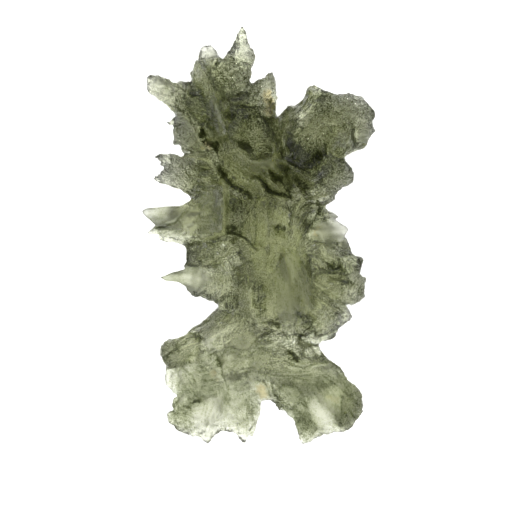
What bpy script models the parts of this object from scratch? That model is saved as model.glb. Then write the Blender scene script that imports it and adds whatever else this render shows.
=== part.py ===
"""Moldavite: one spiky piece of natural green glass, lying flat on its lower blades.

The stone is long in Y and thin in Z. Flat blades, thorns and wings radiate from a thick middle.
Each one is a sliver with a thin rim, a crest above and a keel below. Grown together, they are
etched: hollows are sunk into the upper and the lower face, ribs are left standing between them,
and a finer scalloping covers everything. The lowest keels are worn flat and carry the stone.
Places are in millimetres from the middle of the stone, and MM turns them into metres.
"""

import math

import bmesh
import bpy
import numpy as np
from mathutils import Vector, noise

MM = 0.001
LENGTH = 36.0 * MM  # tip of the top spike to the lowest tooth
GRAIN = 0.2 * MM  # the cell that the blades are grown together with
TRIANGLES = 8800
MIDDLE_HEIGHT = 3.9  # where the upper face meets the lower one, in mm
LOWER_THINNING = 0.3  # how much thinner the lower lobes are than the rest
LOWER_START, LOWER_END = -5.0, -11.0  # where that thinning begins and is complete, in mm
SWAY = 1.3  # how far the rims rise and fall across the stone, in mm
SWAY_LENGTH = 4.5
WANDER = 0.3  # how far the hollows' and the ribs' edges stray from a smooth curve, in mm
WANDER_LENGTH = 1.3
SCALLOP_SIZE = 1.5  # the natural etching between the hollows, in mm
SCALLOP_DEPTH = 0.34

# Blades: the rim's outline (x, y) and its height, the rim's thickness, the crest's and the keel's
# points (x, y, z).
UPPER_BLADES = {
    "top spike": dict(
        rim=[(-3.0, 14.9), (-2.45, 16.0), (-2.0, 16.9), (-1.55, 17.8), (-1.4, 18.0), (-1.2, 17.6),
             (-0.9, 16.7), (-0.25, 15.7), (-0.4, 14.9), (-0.75, 13.6), (-0.8, 12.8), (-3.2, 12.5)],
        height=4.8, thick=0.35,
        crest=[(-1.7, 15.8, 5.5), (-1.9, 13.0, 6.4)], keel=[(-1.8, 14.2, 3.4), (-1.9, 12.5, 2.4)]),
    "clear lobe": dict(
        rim=[(-5.3, 15.0), (-5.15, 15.6), (-4.95, 16.2), (-4.6, 16.4), (-4.1, 16.4),
             (-3.75, 16.0), (-3.4, 15.4), (-3.1, 15.05), (-3.2, 13.5), (-5.4, 13.5)],
        height=3.6, thick=0.6,
        crest=[(-4.3, 15.3, 4.3), (-4.2, 13.5, 5.5)], keel=[(-4.2, 15.0, 3.0), (-4.2, 13.5, 2.0)]),
    "web between the top spikes": dict(
        rim=[(-5.2, 14.9), (-3.4, 15.15), (-3.05, 15.05), (-2.4, 15.4), (-1.4, 13.0), (-3.0, 11.5),
             (-5.0, 13.0)],
        height=4.2, thick=1.2, crest=[(-3.2, 14.0, 5.4)], keel=[(-3.2, 13.6, 2.6)]),
    "left shoulder, upper": dict(
        rim=[(-5.85, 14.0), (-5.7, 14.7), (-5.35, 15.0), (-4.6, 14.6), (-3.5, 12.0), (-2.6, 8.0),
             (-5.0, 8.0), (-5.8, 13.2)],
        height=4.4, thick=0.5,
        crest=[(-4.5, 13.9, 6.3), (-3.7, 12.0, 7.4), (-3.0, 10.0, 8.1), (-2.6, 8.6, 8.3)],
        keel=[(-4.6, 12.2, 1.8), (-4.0, 9.0, 0.6)]),
    "left shoulder, lower": dict(
        rim=[(-5.6, 13.25), (-6.75, 13.25), (-7.15, 13.0), (-7.0, 10.4), (-5.0, 8.0),
             (-3.4, 11.0)],
        height=4.6, thick=0.5,
        crest=[(-5.4, 12.4, 6.0), (-3.8, 11.0, 7.2)], keel=[(-5.4, 11.6, 2.6)]),
    "horn": dict(
        rim=[(-9.6, 13.5), (-9.35, 13.8), (-8.7, 13.8), (-7.8, 13.4), (-7.2, 13.0), (-4.5, 12.0),
             (-4.5, 9.0), (-7.1, 10.5), (-8.0, 11.3), (-8.8, 11.9), (-9.4, 12.3), (-9.6, 12.6)],
        height=5.2, thick=0.8,
        crest=[(-8.7, 13.1, 6.1), (-6.3, 12.0, 6.5), (-4.6, 10.8, 7.0)],
        keel=[(-7.5, 12.0, 3.8), (-5.5, 10.5, 2.2)]),
    "small thorn": dict(
        rim=[(-7.95, 9.8), (-7.9, 9.65), (-7.4, 9.5), (-6.5, 9.3), (-6.5, 10.4), (-7.4, 10.0)],
        height=3.9, thick=0.35, crest=[(-6.9, 9.8, 4.5)], keel=[(-6.8, 9.8, 3.2)]),
    "left block": dict(
        rim=[(-7.1, 10.4), (-7.3, 9.4), (-7.4, 9.0), (-7.25, 8.6), (-7.35, 7.9), (-6.7, 7.9),
             (-6.6, 7.3), (-6.3, 7.0), (-4.0, 6.5), (-3.0, 9.0), (-4.0, 10.8)],
        height=4.0, thick=0.6,
        crest=[(-5.7, 8.8, 5.7), (-4.0, 8.5, 6.6)], keel=[(-5.5, 9.0, 2.0), (-4.0, 8.0, 0.4)]),
    "pointed blade": dict(
        rim=[(1.2, 14.1), (1.45, 13.2), (1.5, 12.0), (1.45, 10.6), (1.55, 10.0), (1.8, 8.0),
             (-1.5, 8.0), (-1.5, 12.3), (-0.75, 12.9), (0.0, 13.4)],
        height=5.0, thick=0.4,
        crest=[(0.9, 13.0, 5.9), (0.8, 10.8, 6.6)], keel=[(0.6, 12.3, 3.8), (0.4, 9.5, 1.6)]),
    "upper middle": dict(
        rim=[(-3.6, 12.6), (-0.6, 12.9), (1.3, 12.2), (2.2, 8.0), (2.8, 4.5), (2.2, 2.0),
             (-3.4, 2.0), (-4.6, 5.0), (-4.4, 9.0)],
        height=4.0, thick=1.6,
        crest=[(-2.2, 11.6, 6.4), (-0.6, 10.4, 6.6), (-1.0, 5.6, 7.2), (1.2, 5.6, 7.2)],
        keel=[(-2.4, 10.5, 1.2), (0.2, 8.5, 0.2), (-0.8, 4.0, 0.8)]),
    "right wing, inner edge": dict(
        rim=[(3.5, 11.35), (3.95, 12.1), (4.25, 12.75), (4.7, 12.9), (5.2, 12.75), (5.2, 11.0),
             (3.6, 9.2)],
        height=5.4, thick=0.4,
        crest=[(4.6, 12.1, 6.2), (3.9, 10.6, 7.1)], keel=[(4.2, 10.6, 3.6)]),
    "right wing, inner shelf": dict(
        rim=[(2.35, 10.8), (2.5, 11.15), (3.2, 11.15), (3.6, 11.45), (4.4, 10.0), (3.2, 8.4),
             (1.9, 8.8)],
        height=5.3, thick=0.5,
        crest=[(3.4, 10.5, 7.1), (2.6, 9.3, 7.7)], keel=[(3.4, 9.8, 3.4)]),
    "right wing, inner root": dict(
        rim=[(1.6, 10.0), (2.0, 10.4), (2.4, 10.9), (3.4, 9.4), (3.0, 7.6), (1.8, 7.4)],
        height=5.0, thick=0.5,
        crest=[(2.4, 9.4, 7.5), (2.0, 8.2, 7.9)], keel=[(2.4, 8.8, 2.6)]),
    "right wing, top": dict(
        rim=[(4.7, 12.85), (5.7, 12.5), (6.1, 12.3), (6.8, 12.1), (7.6, 12.2), (8.2, 12.1),
             (8.8, 11.9), (9.3, 11.5), (9.7, 11.0), (9.95, 10.5), (9.8, 10.0), (5.5, 8.0),
             (4.0, 10.0)],
        height=4.8, thick=0.5,
        crest=[(7.8, 11.2, 5.9), (6.2, 11.4, 6.1), (6.6, 9.6, 6.7)],
        keel=[(7.4, 10.8, 3.4), (5.8, 9.4, 1.6)]),
    "right wing, side": dict(
        rim=[(9.8, 10.1), (9.75, 9.6), (10.0, 9.1), (10.2, 9.0), (9.85, 8.85), (9.5, 8.4),
             (9.3, 7.85), (9.0, 7.5), (8.5, 7.4), (7.9, 7.1), (7.2, 6.8), (5.0, 6.0),
             (5.0, 10.5), (9.0, 11.3)],
        height=4.3, thick=0.45,
        crest=[(8.3, 9.2, 5.7), (6.8, 8.8, 6.9)],
        keel=[(7.8, 9.0, 2.6), (6.9, 9.0, 0.2), (5.8, 8.2, -0.45)]),
    "right wing, low": dict(
        rim=[(7.2, 6.85), (7.6, 6.35), (8.05, 5.8), (8.3, 5.2), (8.1, 4.6), (7.4, 4.2),
             (6.95, 4.0), (6.75, 3.6), (4.5, 3.4), (3.0, 5.0), (4.0, 8.0), (6.0, 7.6)],
        height=4.1, thick=0.45,
        crest=[(7.0, 5.5, 5.4), (5.6, 5.8, 6.5)], keel=[(6.5, 5.5, 2.6), (5.0, 5.4, 1.0)]),
    "right wing, root": dict(
        rim=[(1.6, 9.6), (4.8, 11.0), (6.6, 8.6), (6.4, 5.8), (4.4, 4.0), (1.8, 4.4)],
        height=3.8, thick=1.4,
        crest=[(2.2, 7.2, 7.3), (3.2, 5.6, 7.4), (4.8, 4.6, 6.8), (4.8, 9.8, 6.2)],
        keel=[(4.6, 8.4, 0.6), (3.2, 6.0, 0.6)]),
}

MIDDLE_BLADES = {
    "left twin thorn, upper": dict(
        rim=[(-8.9, 6.7), (-8.7, 6.95), (-8.3, 7.0), (-7.5, 6.9), (-6.0, 6.95), (-4.0, 7.0),
             (-3.5, 5.2), (-6.5, 4.8), (-8.0, 5.75), (-8.4, 6.15), (-8.65, 6.4)],
        height=5.4, thick=0.4,
        crest=[(-6.8, 6.4, 6.4), (-4.4, 6.2, 7.6)], keel=[(-5.4, 5.8, 3.2)]),
    "left twin thorn, lower": dict(
        rim=[(-9.1, 4.9), (-8.8, 5.25), (-8.3, 5.5), (-7.8, 5.6), (-4.0, 6.2), (-3.5, 3.4),
             (-5.6, 3.2), (-6.2, 3.6), (-6.9, 4.0), (-7.9, 4.4), (-8.6, 4.5)],
        height=4.2, thick=0.4,
        crest=[(-6.8, 4.8, 5.1), (-4.6, 4.8, 7.0)], keel=[(-6.2, 4.4, 3.0), (-4.0, 4.6, 1.2)]),
    "left plate": dict(
        rim=[(-5.7, 3.1), (-4.7, 4.4), (-3.1, 4.7), (-2.8, 4.3), (-2.7, 2.4), (-2.75, 0.2),
             (-4.8, -0.2), (-5.6, 1.4)],
        height=5.2, thick=1.6,
        crest=[(-3.05, 4.3, 7.6), (-2.9, 2.4, 8.1), (-2.95, 0.4, 7.8), (-4.8, 2.2, 7.0)],
        keel=[(-4.4, 1.8, 1.4)]),
    "pale wedge, left": dict(
        rim=[(-10.05, 2.1), (-9.7, 2.35), (-8.8, 2.4), (-8.0, 2.5), (-6.9, 2.5), (-6.1, 2.8),
             (-4.5, 3.0), (-4.5, 0.8), (-8.7, 0.95), (-9.3, 1.3), (-9.85, 1.75)],
        height=5.6, thick=0.35,
        crest=[(-7.4, 1.9, 6.2), (-5.2, 2.2, 7.1)], keel=[(-6.2, 1.8, 4.6), (-5.0, 2.0, 3.0)]),
    "thorn under the pale wedge": dict(
        rim=[(-9.8, 0.15), (-9.7, 0.35), (-9.2, 0.55), (-8.5, 1.0), (-6.0, 1.8), (-4.5, 1.5),
             (-4.5, -0.3), (-7.5, 0.0), (-8.6, 0.15), (-9.2, 0.15)],
        height=4.2, thick=0.4,
        crest=[(-7.8, 0.6, 4.9), (-5.4, 0.8, 6.3)], keel=[(-6.4, 0.6, 2.8)]),
    "left lip": dict(
        rim=[(-8.6, -0.1), (-8.5, -0.4), (-7.0, -0.6), (-6.3, -0.95), (-4.5, -1.2), (-4.0, 0.6),
             (-7.5, 0.3)],
        height=3.2, thick=0.4, crest=[(-6.5, -0.2, 4.0)], keel=[(-5.6, -0.1, 2.0)]),
    "left flank": dict(
        rim=[(-6.3, -0.9), (-6.25, -1.3), (-6.2, -2.3), (-6.5, -2.55), (-6.3, -2.9),
             (-3.5, -3.4), (-2.2, -0.6), (-4.0, 0.5)],
        height=4.0, thick=0.6,
        crest=[(-4.5, -1.4, 5.8), (-2.4, -0.9, 6.9)], keel=[(-4.5, -1.5, 1.4)]),
    "long pale thorn": dict(
        rim=[(-8.5, -3.65), (-8.2, -3.45), (-7.5, -3.2), (-6.4, -2.9), (-4.8, -2.7),
             (-4.6, -4.6), (-6.3, -4.35), (-7.0, -4.05), (-8.0, -3.9), (-8.4, -3.8)],
        height=4.4, thick=0.4,
        crest=[(-6.8, -3.6, 5.0), (-5.0, -3.8, 5.7)], keel=[(-5.6, -3.8, 3.4)]),
    "root of the pale thorn": dict(
        rim=[(-6.3, -4.4), (-6.2, -4.7), (-5.75, -5.2), (-5.0, -5.3), (-3.9, -5.75), (-3.5, -5.9),
             (-2.5, -4.5), (-3.2, -2.5), (-6.1, -2.9)],
        height=4.2, thick=0.4,
        crest=[(-4.6, -3.9, 5.8), (-3.0, -4.2, 6.3)], keel=[(-5.0, -4.3, 3.0), (-3.2, -4.5, 1.8)]),
    "middle": dict(
        rim=[(-3.4, 3.0), (2.8, 4.0), (5.2, 2.0), (5.7, 0.6), (5.2, -3.0), (4.4, -8.0), (1.5, -9.0),
             (-1.8, -8.6), (-3.4, -6.0), (-3.2, -2.0)],
        height=3.8, thick=1.6,
        crest=[(0.3, 3.0, 7.0), (0.5, -1.6, 7.0), (-1.6, -0.5, 6.9), (2.6, -3.0, 6.9),
               (-0.8, -6.5, 6.0), (2.6, -7.0, 6.2)],
        keel=[(0.4, 2.0, 0.6), (1.2, -3.4, 0.0), (0.4, -6.6, 1.0)]),
    "smooth fan": dict(
        rim=[(2.0, -0.8), (3.0, -1.6), (4.2, -3.6), (4.6, -6.0), (4.2, -8.2), (2.6, -8.4),
             (1.2, -7.2), (0.7, -5.0), (0.9, -3.0), (1.6, -1.4)],
        height=5.6, thick=0.8,
        crest=[(2.3, -1.8, 7.4), (2.6, -3.8, 7.6), (2.8, -6.0, 7.0), (2.8, -7.6, 6.4)],
        keel=[(2.6, -4.0, 3.0)]),
    "right thorn, upper": dict(
        rim=[(6.5, 3.4), (6.7, 3.1), (6.0, 2.8), (5.6, 2.5), (3.0, 1.5), (2.5, 4.0),
             (4.5, 4.2), (6.3, 3.6)],
        height=4.9, thick=0.4, crest=[(5.2, 3.2, 6.0), (3.8, 2.8, 7.0)], keel=[(4.6, 3.2, 2.0)]),
    "right thorn, lower": dict(
        rim=[(5.7, 2.5), (6.0, 2.1), (6.3, 2.0), (6.95, 1.65), (6.5, 1.4), (3.5, 0.3),
             (3.0, 2.2), (4.5, 3.0)],
        height=4.0, thick=0.4, crest=[(5.6, 1.9, 4.8), (4.0, 1.8, 5.8)], keel=[(5.0, 1.8, 2.0)]),
    "pale wedge, right": dict(
        rim=[(6.4, 1.4), (7.0, 1.1), (7.5, 0.85), (7.75, 0.5), (7.5, 0.15), (7.35, -0.1),
             (6.0, -0.6), (4.5, 0.1), (4.6, 0.6), (5.5, 1.1)],
        height=5.2, thick=0.4, crest=[(6.3, 0.6, 5.9), (5.0, 0.35, 6.3)], keel=[(5.8, 0.3, 4.4)]),
    "right flank, upper": dict(
        rim=[(7.35, -0.1), (7.65, -0.3), (7.8, -0.8), (8.0, -1.4), (7.9, -3.0), (5.0, -4.0),
             (3.5, -1.0), (4.0, 0.4)],
        height=4.3, thick=0.45,
        crest=[(7.1, -1.4, 5.3), (5.6, -1.5, 6.2)], keel=[(6.8, -1.6, 2.6), (5.2, -1.8, 0.8)]),
    "right flank, lower": dict(
        rim=[(7.9, -1.4), (8.4, -1.7), (8.9, -1.85), (9.05, -2.1), (8.95, -2.5), (8.75, -2.9),
             (8.65, -3.4), (5.0, -4.0), (5.4, -1.6)],
        height=4.0, thick=0.45,
        crest=[(8.0, -2.3, 5.0), (6.2, -2.4, 6.0)], keel=[(7.4, -2.4, 2.6)]),
    "right block": dict(
        rim=[(8.6, -3.3), (9.0, -3.6), (9.25, -3.6), (9.1, -4.2), (9.1, -5.4), (8.7, -5.6),
             (8.3, -5.9), (7.4, -5.9), (5.0, -5.2), (4.5, -3.0), (7.5, -2.8)],
        height=4.0, thick=1.3,
        crest=[(8.4, -4.5, 5.9), (6.4, -4.1, 6.5)], keel=[(8.2, -4.7, 2.2), (6.0, -4.5, 0.2)]),
    "right fin": dict(
        rim=[(7.4, -5.8), (7.7, -6.3), (7.95, -6.7), (8.1, -7.0), (7.8, -7.4), (7.0, -7.9),
             (6.7, -8.4), (6.6, -8.8), (6.0, -9.0), (5.4, -9.1), (3.5, -8.8), (3.5, -5.0),
             (6.0, -4.8)],
        height=4.2, thick=0.4,
        crest=[(6.8, -6.9, 5.5), (5.0, -6.4, 6.2)], keel=[(6.3, -7.2, 3.0), (4.5, -7.0, 1.2)]),
}

LOWER_BLADES = {
    "waist": dict(
        rim=[(-3.5, -5.8), (-3.7, -6.5), (-4.3, -7.0), (-5.0, -7.6), (-5.8, -8.0), (-6.3, -8.6),
             (-5.2, -11.0), (0.0, -11.0), (0.0, -6.0)],
        height=4.0, thick=0.6,
        crest=[(-3.4, -7.6, 5.4), (-1.5, -8.0, 6.0)], keel=[(-3.6, -8.4, 1.8), (-1.5, -8.0, 1.0)]),
    "knob": dict(
        rim=[(-6.3, -8.6), (-7.0, -8.9), (-8.15, -9.2), (-8.4, -9.6), (-8.5, -10.1),
             (-8.2, -11.0), (-7.8, -11.15), (-5.5, -11.2), (-4.5, -9.4), (-5.0, -8.5)],
        height=3.6, thick=1.4,
        crest=[(-7.3, -9.9, 5.4), (-5.6, -9.3, 5.6)],
        keel=[(-7.4, -10.2, 0.6), (-6.4, -10.4, -0.45), (-5.6, -9.8, -0.3), (-4.8, -9.8, 0.9)]),
    "lower middle": dict(
        rim=[(-5.4, -10.6), (-2.0, -8.2), (4.0, -8.6), (5.2, -9.6), (5.6, -11.5), (3.5, -13.2),
             (1.1, -14.1), (0.4, -14.2), (-2.0, -14.0), (-4.5, -13.2)],
        height=3.6, thick=1.0,
        crest=[(-2.6, -10.6, 5.4), (1.0, -10.4, 5.6), (3.8, -10.6, 5.4), (0.3, -12.6, 4.9)],
        keel=[(-2.2, -10.8, 1.4), (2.8, -10.8, 1.2)]),
    "clear plate": dict(
        rim=[(-8.0, -11.1), (-8.1, -12.3), (-8.05, -12.85), (-7.5, -13.4), (-7.1, -13.85),
             (-4.0, -14.0), (-3.0, -11.0), (-5.5, -10.5)],
        height=3.4, thick=0.5, crest=[(-6.2, -12.2, 4.3), (-4.2, -12.2, 4.9)],
        keel=[(-5.8, -12.2, 2.2)]),
    "lump": dict(
        rim=[(-7.1, -13.95), (-7.4, -14.2), (-7.5, -14.6), (-7.4, -15.1), (-5.2, -14.9),
             (-5.2, -13.2), (-6.8, -13.4)],
        height=3.5, thick=0.8, crest=[(-6.3, -14.3, 4.6)], keel=[(-6.2, -14.2, 2.2)]),
    "left foot": dict(
        rim=[(-7.3, -14.95), (-7.95, -15.4), (-7.8, -16.0), (-7.7, -16.4), (-7.3, -16.6),
             (-7.0, -17.0), (-6.6, -17.2), (-6.1, -17.4), (-5.4, -17.3), (-3.0, -16.0),
             (-3.0, -13.5), (-6.0, -14.0)],
        height=2.9, thick=0.5,
        crest=[(-6.2, -15.8, 3.7), (-4.2, -14.8, 4.2)], keel=[(-6.4, -16.0, 1.6), (-4.2, -14.8, 1.2)]),
    "tooth, left": dict(
        rim=[(-5.4, -17.3), (-4.9, -17.7), (-4.45, -18.05), (-4.2, -17.8), (-3.9, -17.3),
             (-3.4, -17.0), (-2.2, -15.5), (-2.5, -13.0), (-5.0, -13.5), (-6.0, -16.4)],
        height=3.1, thick=0.4, crest=[(-4.2, -16.2, 3.8), (-3.6, -14.2, 4.4)],
        keel=[(-4.0, -15.4, 2.0)]),
    "tooth, middle": dict(
        rim=[(-3.4, -16.95), (-2.3, -17.0), (-1.9, -17.2), (-1.6, -17.7), (-1.3, -17.9),
             (-1.1, -17.85), (-0.55, -17.35), (-0.35, -16.8), (-0.1, -16.0), (0.1, -15.2),
             (0.2, -14.4), (-1.0, -12.6), (-3.5, -13.0)],
        height=3.0, thick=0.4, crest=[(-1.5, -16.0, 3.7), (-1.6, -14.2, 4.4)],
        keel=[(-1.5, -15.4, 1.9)]),
    "right lobe, upper": dict(
        rim=[(5.25, -9.5), (5.3, -9.9), (6.0, -10.7), (6.9, -11.3), (7.35, -11.7), (7.5, -12.2),
             (7.9, -12.7), (6.0, -14.5), (2.0, -13.8), (1.2, -12.0), (2.0, -9.6), (3.5, -8.8)],
        height=3.7, thick=0.5,
        crest=[(5.0, -11.2, 5.4), (3.0, -11.2, 5.7)], keel=[(5.2, -11.6, 1.6), (3.0, -11.2, 1.0)]),
    "right lobe, side": dict(
        rim=[(7.5, -12.2), (8.0, -12.7), (8.4, -12.9), (8.6, -13.3), (9.0, -13.8), (8.9, -14.4),
             (9.05, -15.0), (9.0, -15.3), (8.5, -15.9), (8.2, -16.4), (8.0, -16.7), (7.4, -17.0),
             (5.6, -15.4), (5.2, -12.6)],
        height=3.5, thick=0.6,
        crest=[(7.8, -14.6, 4.7), (6.6, -13.8, 5.0)],
        keel=[(8.0, -14.9, 0.7), (7.0, -14.2, -0.45), (6.2, -13.6, -0.2), (5.2, -13.2, 0.8)]),
    "right lobe, tooth": dict(
        rim=[(7.4, -17.0), (6.7, -17.0), (6.1, -17.2), (5.5, -17.3), (5.0, -17.5), (4.3, -17.9),
             (3.8, -18.05), (3.6, -17.8), (3.4, -16.9), (3.2, -16.2), (2.8, -15.6), (3.0, -13.0),
             (7.0, -13.4), (8.0, -16.6)],
        height=3.1, thick=0.45,
        crest=[(5.4, -15.3, 4.5), (4.2, -16.6, 3.9)], keel=[(5.2, -15.3, 1.8)]),
    "notch side": dict(
        rim=[(2.85, -15.65), (2.3, -15.2), (1.8, -15.0), (1.4, -14.5), (1.1, -14.2), (1.0, -12.5),
             (4.0, -12.5), (4.0, -15.5)],
        height=3.3, thick=0.5, crest=[(2.8, -13.6, 4.7)], keel=[(2.8, -13.8, 2.0)]),
}

# Slivers on the back, which turn down from the middle and stand on the ground.
UNDER_BLADES = {
    "back fin, upper": dict(
        rim=[(-5.6, 12.6), (-4.6, 13.2), (-1.2, 6.4), (-0.8, 5.0), (-1.8, 5.0)],
        height=3.0, thick=1.2, crest=[(-2.6, 8.5, 4.0)],
        keel=[(-4.9, 12.3, 0.2), (-4.3, 11.2, -0.45), (-3.4, 9.4, -0.3)]),
    "back fin, right": dict(
        rim=[(2.0, 8.6), (6.6, 10.6), (7.4, 9.8), (3.0, 7.0)],
        height=3.0, thick=1.2, crest=[(4.6, 9.0, 4.0)], keel=[(6.4, 9.9, 0.6), (3.8, 8.4, 0.8)]),
    "back rib": dict(
        rim=[(0.6, 5.4), (1.8, 5.0), (2.4, -4.6), (1.2, -7.4), (0.2, -5.0)],
        height=2.6, thick=1.0, crest=[(1.2, 0.0, 4.0)],
        keel=[(1.2, 3.4, 0.4), (1.4, 0.8, -0.4), (1.5, -2.6, -0.3)]),
    "back fin, left": dict(
        rim=[(-7.4, 2.8), (-6.8, 1.2), (-1.0, 0.2), (-1.4, 2.4)],
        height=3.4, thick=0.9, crest=[(-4.0, 1.6, 4.4)], keel=[(-6.0, 2.0, 1.2), (-3.4, 1.6, 0.6)]),
    "back fin, lower right": dict(
        rim=[(2.2, -6.0), (7.0, -5.6), (7.8, -4.6), (3.0, -4.6)],
        height=3.2, thick=0.9, crest=[(5.0, -5.2, 4.0)], keel=[(6.6, -5.0, 0.9), (4.4, -5.2, 0.6)]),
    "back rib, lower": dict(
        rim=[(-2.6, -8.6), (-1.4, -8.6), (4.6, -12.6), (4.2, -13.6), (2.2, -12.6)],
        height=2.6, thick=0.8, crest=[(1.0, -10.8, 3.8)], keel=[(3.4, -12.6, 1.0), (0.6, -10.6, 0.8)]),
}

# Etched hollows: middle (x, y), half length and half width, turn in degrees, depth.
UPPER_HOLLOWS = [
    ((-0.3, 8.6), (1.9, 1.5), 70, 2.6),  # the pit inside the hook
    ((-1.1, 7.9), (0.9, 0.5), -35, 1.0),
    ((-2.2, 12.4), (2.2, 1.3), 80, 1.2),
    ((-5.0, 8.9), (0.7, 0.45), 70, 1.3),
    ((-4.0, 7.7), (0.9, 0.5), -20, 1.4),
    ((-3.2, 5.6), (0.8, 0.7), 0, 1.4),
    ((4.3, 6.8), (2.3, 1.7), 65, 2.2),  # the bowl in the right wing
    ((5.2, 8.4), (1.0, 0.8), 0, 0.9),
    ((7.6, 9.4), (1.2, 0.7), 60, 0.8),
    ((1.45, 5.0), (1.0, 0.38), -48, 2.4),  # the slots on either side of the rod
    ((1.2, 3.75), (1.5, 0.35), -28, 2.0),
    ((3.6, 4.6), (0.9, 0.35), -50, 1.6),
    ((-1.3, 3.9), (1.3, 0.4), -32, 1.6),
    ((-1.7, 1.2), (1.2, 1.0), 60, 2.0),  # the hollow right of the left plate
    ((-0.9, -0.2), (1.3, 0.4), -35, 1.2),
    ((1.5, 0.6), (0.9, 0.6), 20, 1.0),
    ((6.4, -2.4), (1.1, 0.6), -20, 1.3),
    ((4.7, 1.9), (0.9, 0.5), 60, 0.6),
    ((-4.4, -2.9), (1.8, 0.5), 20, 0.9),
    ((-1.8, -4.4), (1.6, 0.7), 80, 1.4),
    ((0.3, -5.4), (2.2, 0.5), 85, 1.6),
    ((1.1, -7.7), (0.9, 0.5), 0, 1.6),
    ((3.9, -7.3), (1.4, 0.6), 115, 1.4),
    ((2.9, -10.2), (0.7, 0.4), 60, 1.2),
    ((4.6, -10.8), (0.9, 0.4), 30, 1.0),
    ((-5.6, -8.8), (0.7, 0.4), -20, 1.0),
    ((-3.4, -11.0), (0.9, 0.5), 70, 0.9),
    ((-5.4, -14.2), (0.7, 0.4), 20, 0.7),
]

UNDER_HOLLOWS = [
    ((-2.0, 11.6), (1.6, 0.9), 60, 1.4),
    ((-6.0, 7.2), (1.4, 0.7), 20, 1.2),
    ((3.8, 11.0), (1.5, 0.7), 45, 1.2),
    ((4.4, 6.2), (1.8, 0.9), -30, 1.6),
    ((-2.2, 4.2), (1.9, 0.9), 75, 1.7),
    ((4.0, 1.8), (2.0, 1.0), 70, 1.7),
    ((-1.6, -2.6), (2.0, 1.1), 80, 1.8),
    ((4.2, -2.4), (1.3, 0.8), 40, 1.4),
    ((-4.6, -5.2), (1.6, 0.6), 30, 1.0),
    ((4.6, -8.8), (1.5, 0.8), 20, 1.2),
    ((-1.2, -12.4), (1.9, 0.9), 10, 1.0),
    ((-5.0, -12.6), (1.2, 0.8), 60, 0.7),
    ((4.6, -15.6), (1.2, 0.8), 30, 0.8),
]

# Ribs left standing between the hollows: their line (x, y), half width, height.
UPPER_RIBS = [
    # the hook: down the left, round under the pit, and up the right side
    ([(-4.6, 14.3), (-4.0, 13.2), (-3.5, 12.0), (-3.0, 10.6), (-2.6, 9.4), (-2.2, 8.2),
      (-1.7, 7.2), (-0.6, 6.4), (0.7, 6.2), (1.5, 6.9), (1.8, 8.2), (1.7, 9.6)], 0.55, 0.9),
    ([(-6.4, 10.3), (-5.6, 9.4), (-5.3, 8.6), (-4.8, 7.6)], 0.35, 0.7),
    ([(1.8, 9.6), (2.9, 10.2), (4.0, 11.2), (4.5, 12.3)], 0.45, 0.6),
    ([(1.9, 6.5), (2.9, 5.7), (3.9, 5.1), (4.7, 4.4)], 0.35, 0.8),
    ([(0.6, 5.4), (1.1, 4.6), (1.8, 4.0)], 0.35, 0.9),
    ([(2.6, 5.2), (3.2, 4.2), (4.0, 3.2)], 0.4, 0.8),
    ([(0.0, 4.6), (0.4, 3.4), (0.6, 1.6), (0.5, 0.0), (0.5, -1.6)], 0.6, 0.9),
    ([(-3.0, 4.6), (-2.8, 3.6), (-2.8, 1.8), (-2.9, 0.3)], 0.35, 0.5),
    ([(0.0, -1.1), (-0.9, -0.8), (-1.7, -0.4), (-2.8, -1.6), (-3.8, -2.0), (-4.6, -2.5)], 0.35, 0.8),
    ([(2.8, 0.4), (3.0, 1.4), (3.5, 2.3), (4.2, 2.9), (5.4, 3.2), (6.3, 3.2)], 0.35, 0.7),
    ([(5.4, -0.4), (6.0, -1.6), (7.4, -2.6), (8.4, -3.2)], 0.4, 0.6),
    ([(1.6, -1.0), (2.4, -2.6), (2.6, -5.0)], 0.5, 0.4),
    ([(5.0, -4.2), (6.4, -4.8), (7.4, -6.2), (7.9, -6.9)], 0.4, 0.6),
    ([(-3.8, -8.4), (-5.0, -9.2), (-6.2, -10.2)], 0.4, 0.5),
    ([(-2.8, -12.4), (-2.9, -14.2), (-2.4, -15.6)], 0.35, 0.4),
    ([(1.2, -10.9), (3.0, -11.0), (4.6, -11.3), (6.0, -11.2)], 0.4, 0.4),
]

UNDER_RIBS = [
    ([(-5.4, 12.8), (-3.6, 9.8), (-1.6, 6.6), (0.6, 4.2), (1.4, 0.6), (1.4, -4.0)], 0.6, 0.5),
    ([(1.0, 6.0), (3.8, 8.4), (7.0, 10.2)], 0.5, 0.5),
    ([(-1.0, 1.4), (-4.0, 1.7), (-7.0, 2.0)], 0.5, 0.5),
    ([(1.6, -4.4), (4.6, -5.2), (7.4, -5.0)], 0.5, 0.4),
    ([(1.2, -6.0), (-1.8, -8.4), (-5.6, -9.6), (-7.4, -10.2)], 0.5, 0.5),
    ([(-1.8, -8.6), (1.6, -11.2), (4.4, -13.0), (7.4, -14.8)], 0.5, 0.5),
]


def clear_scene():
    for old in list(bpy.data.objects):
        bpy.data.objects.remove(old, do_unlink=True)


def green_glass():
    """Bottle-green glass with a matt, etched skin."""
    glass = bpy.data.materials.new("moldavite glass")
    glass.use_nodes = True
    shader = glass.node_tree.nodes["Principled BSDF"]
    shader.inputs["Base Color"].default_value = (0.16, 0.19, 0.09, 1.0)
    shader.inputs["Roughness"].default_value = 0.35
    shader.inputs["Metallic"].default_value = 0.0
    shader.inputs["IOR"].default_value = 1.49
    shader.inputs["Transmission Weight"].default_value = 0.8
    return glass


def lower_share(y):
    """0 in the thick upper part of the stone, 1 in the thin lower lobes."""
    share = np.clip((LOWER_START - y) / (LOWER_START - LOWER_END), 0, 1)
    return share * share * (3 - 2 * share)


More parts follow.
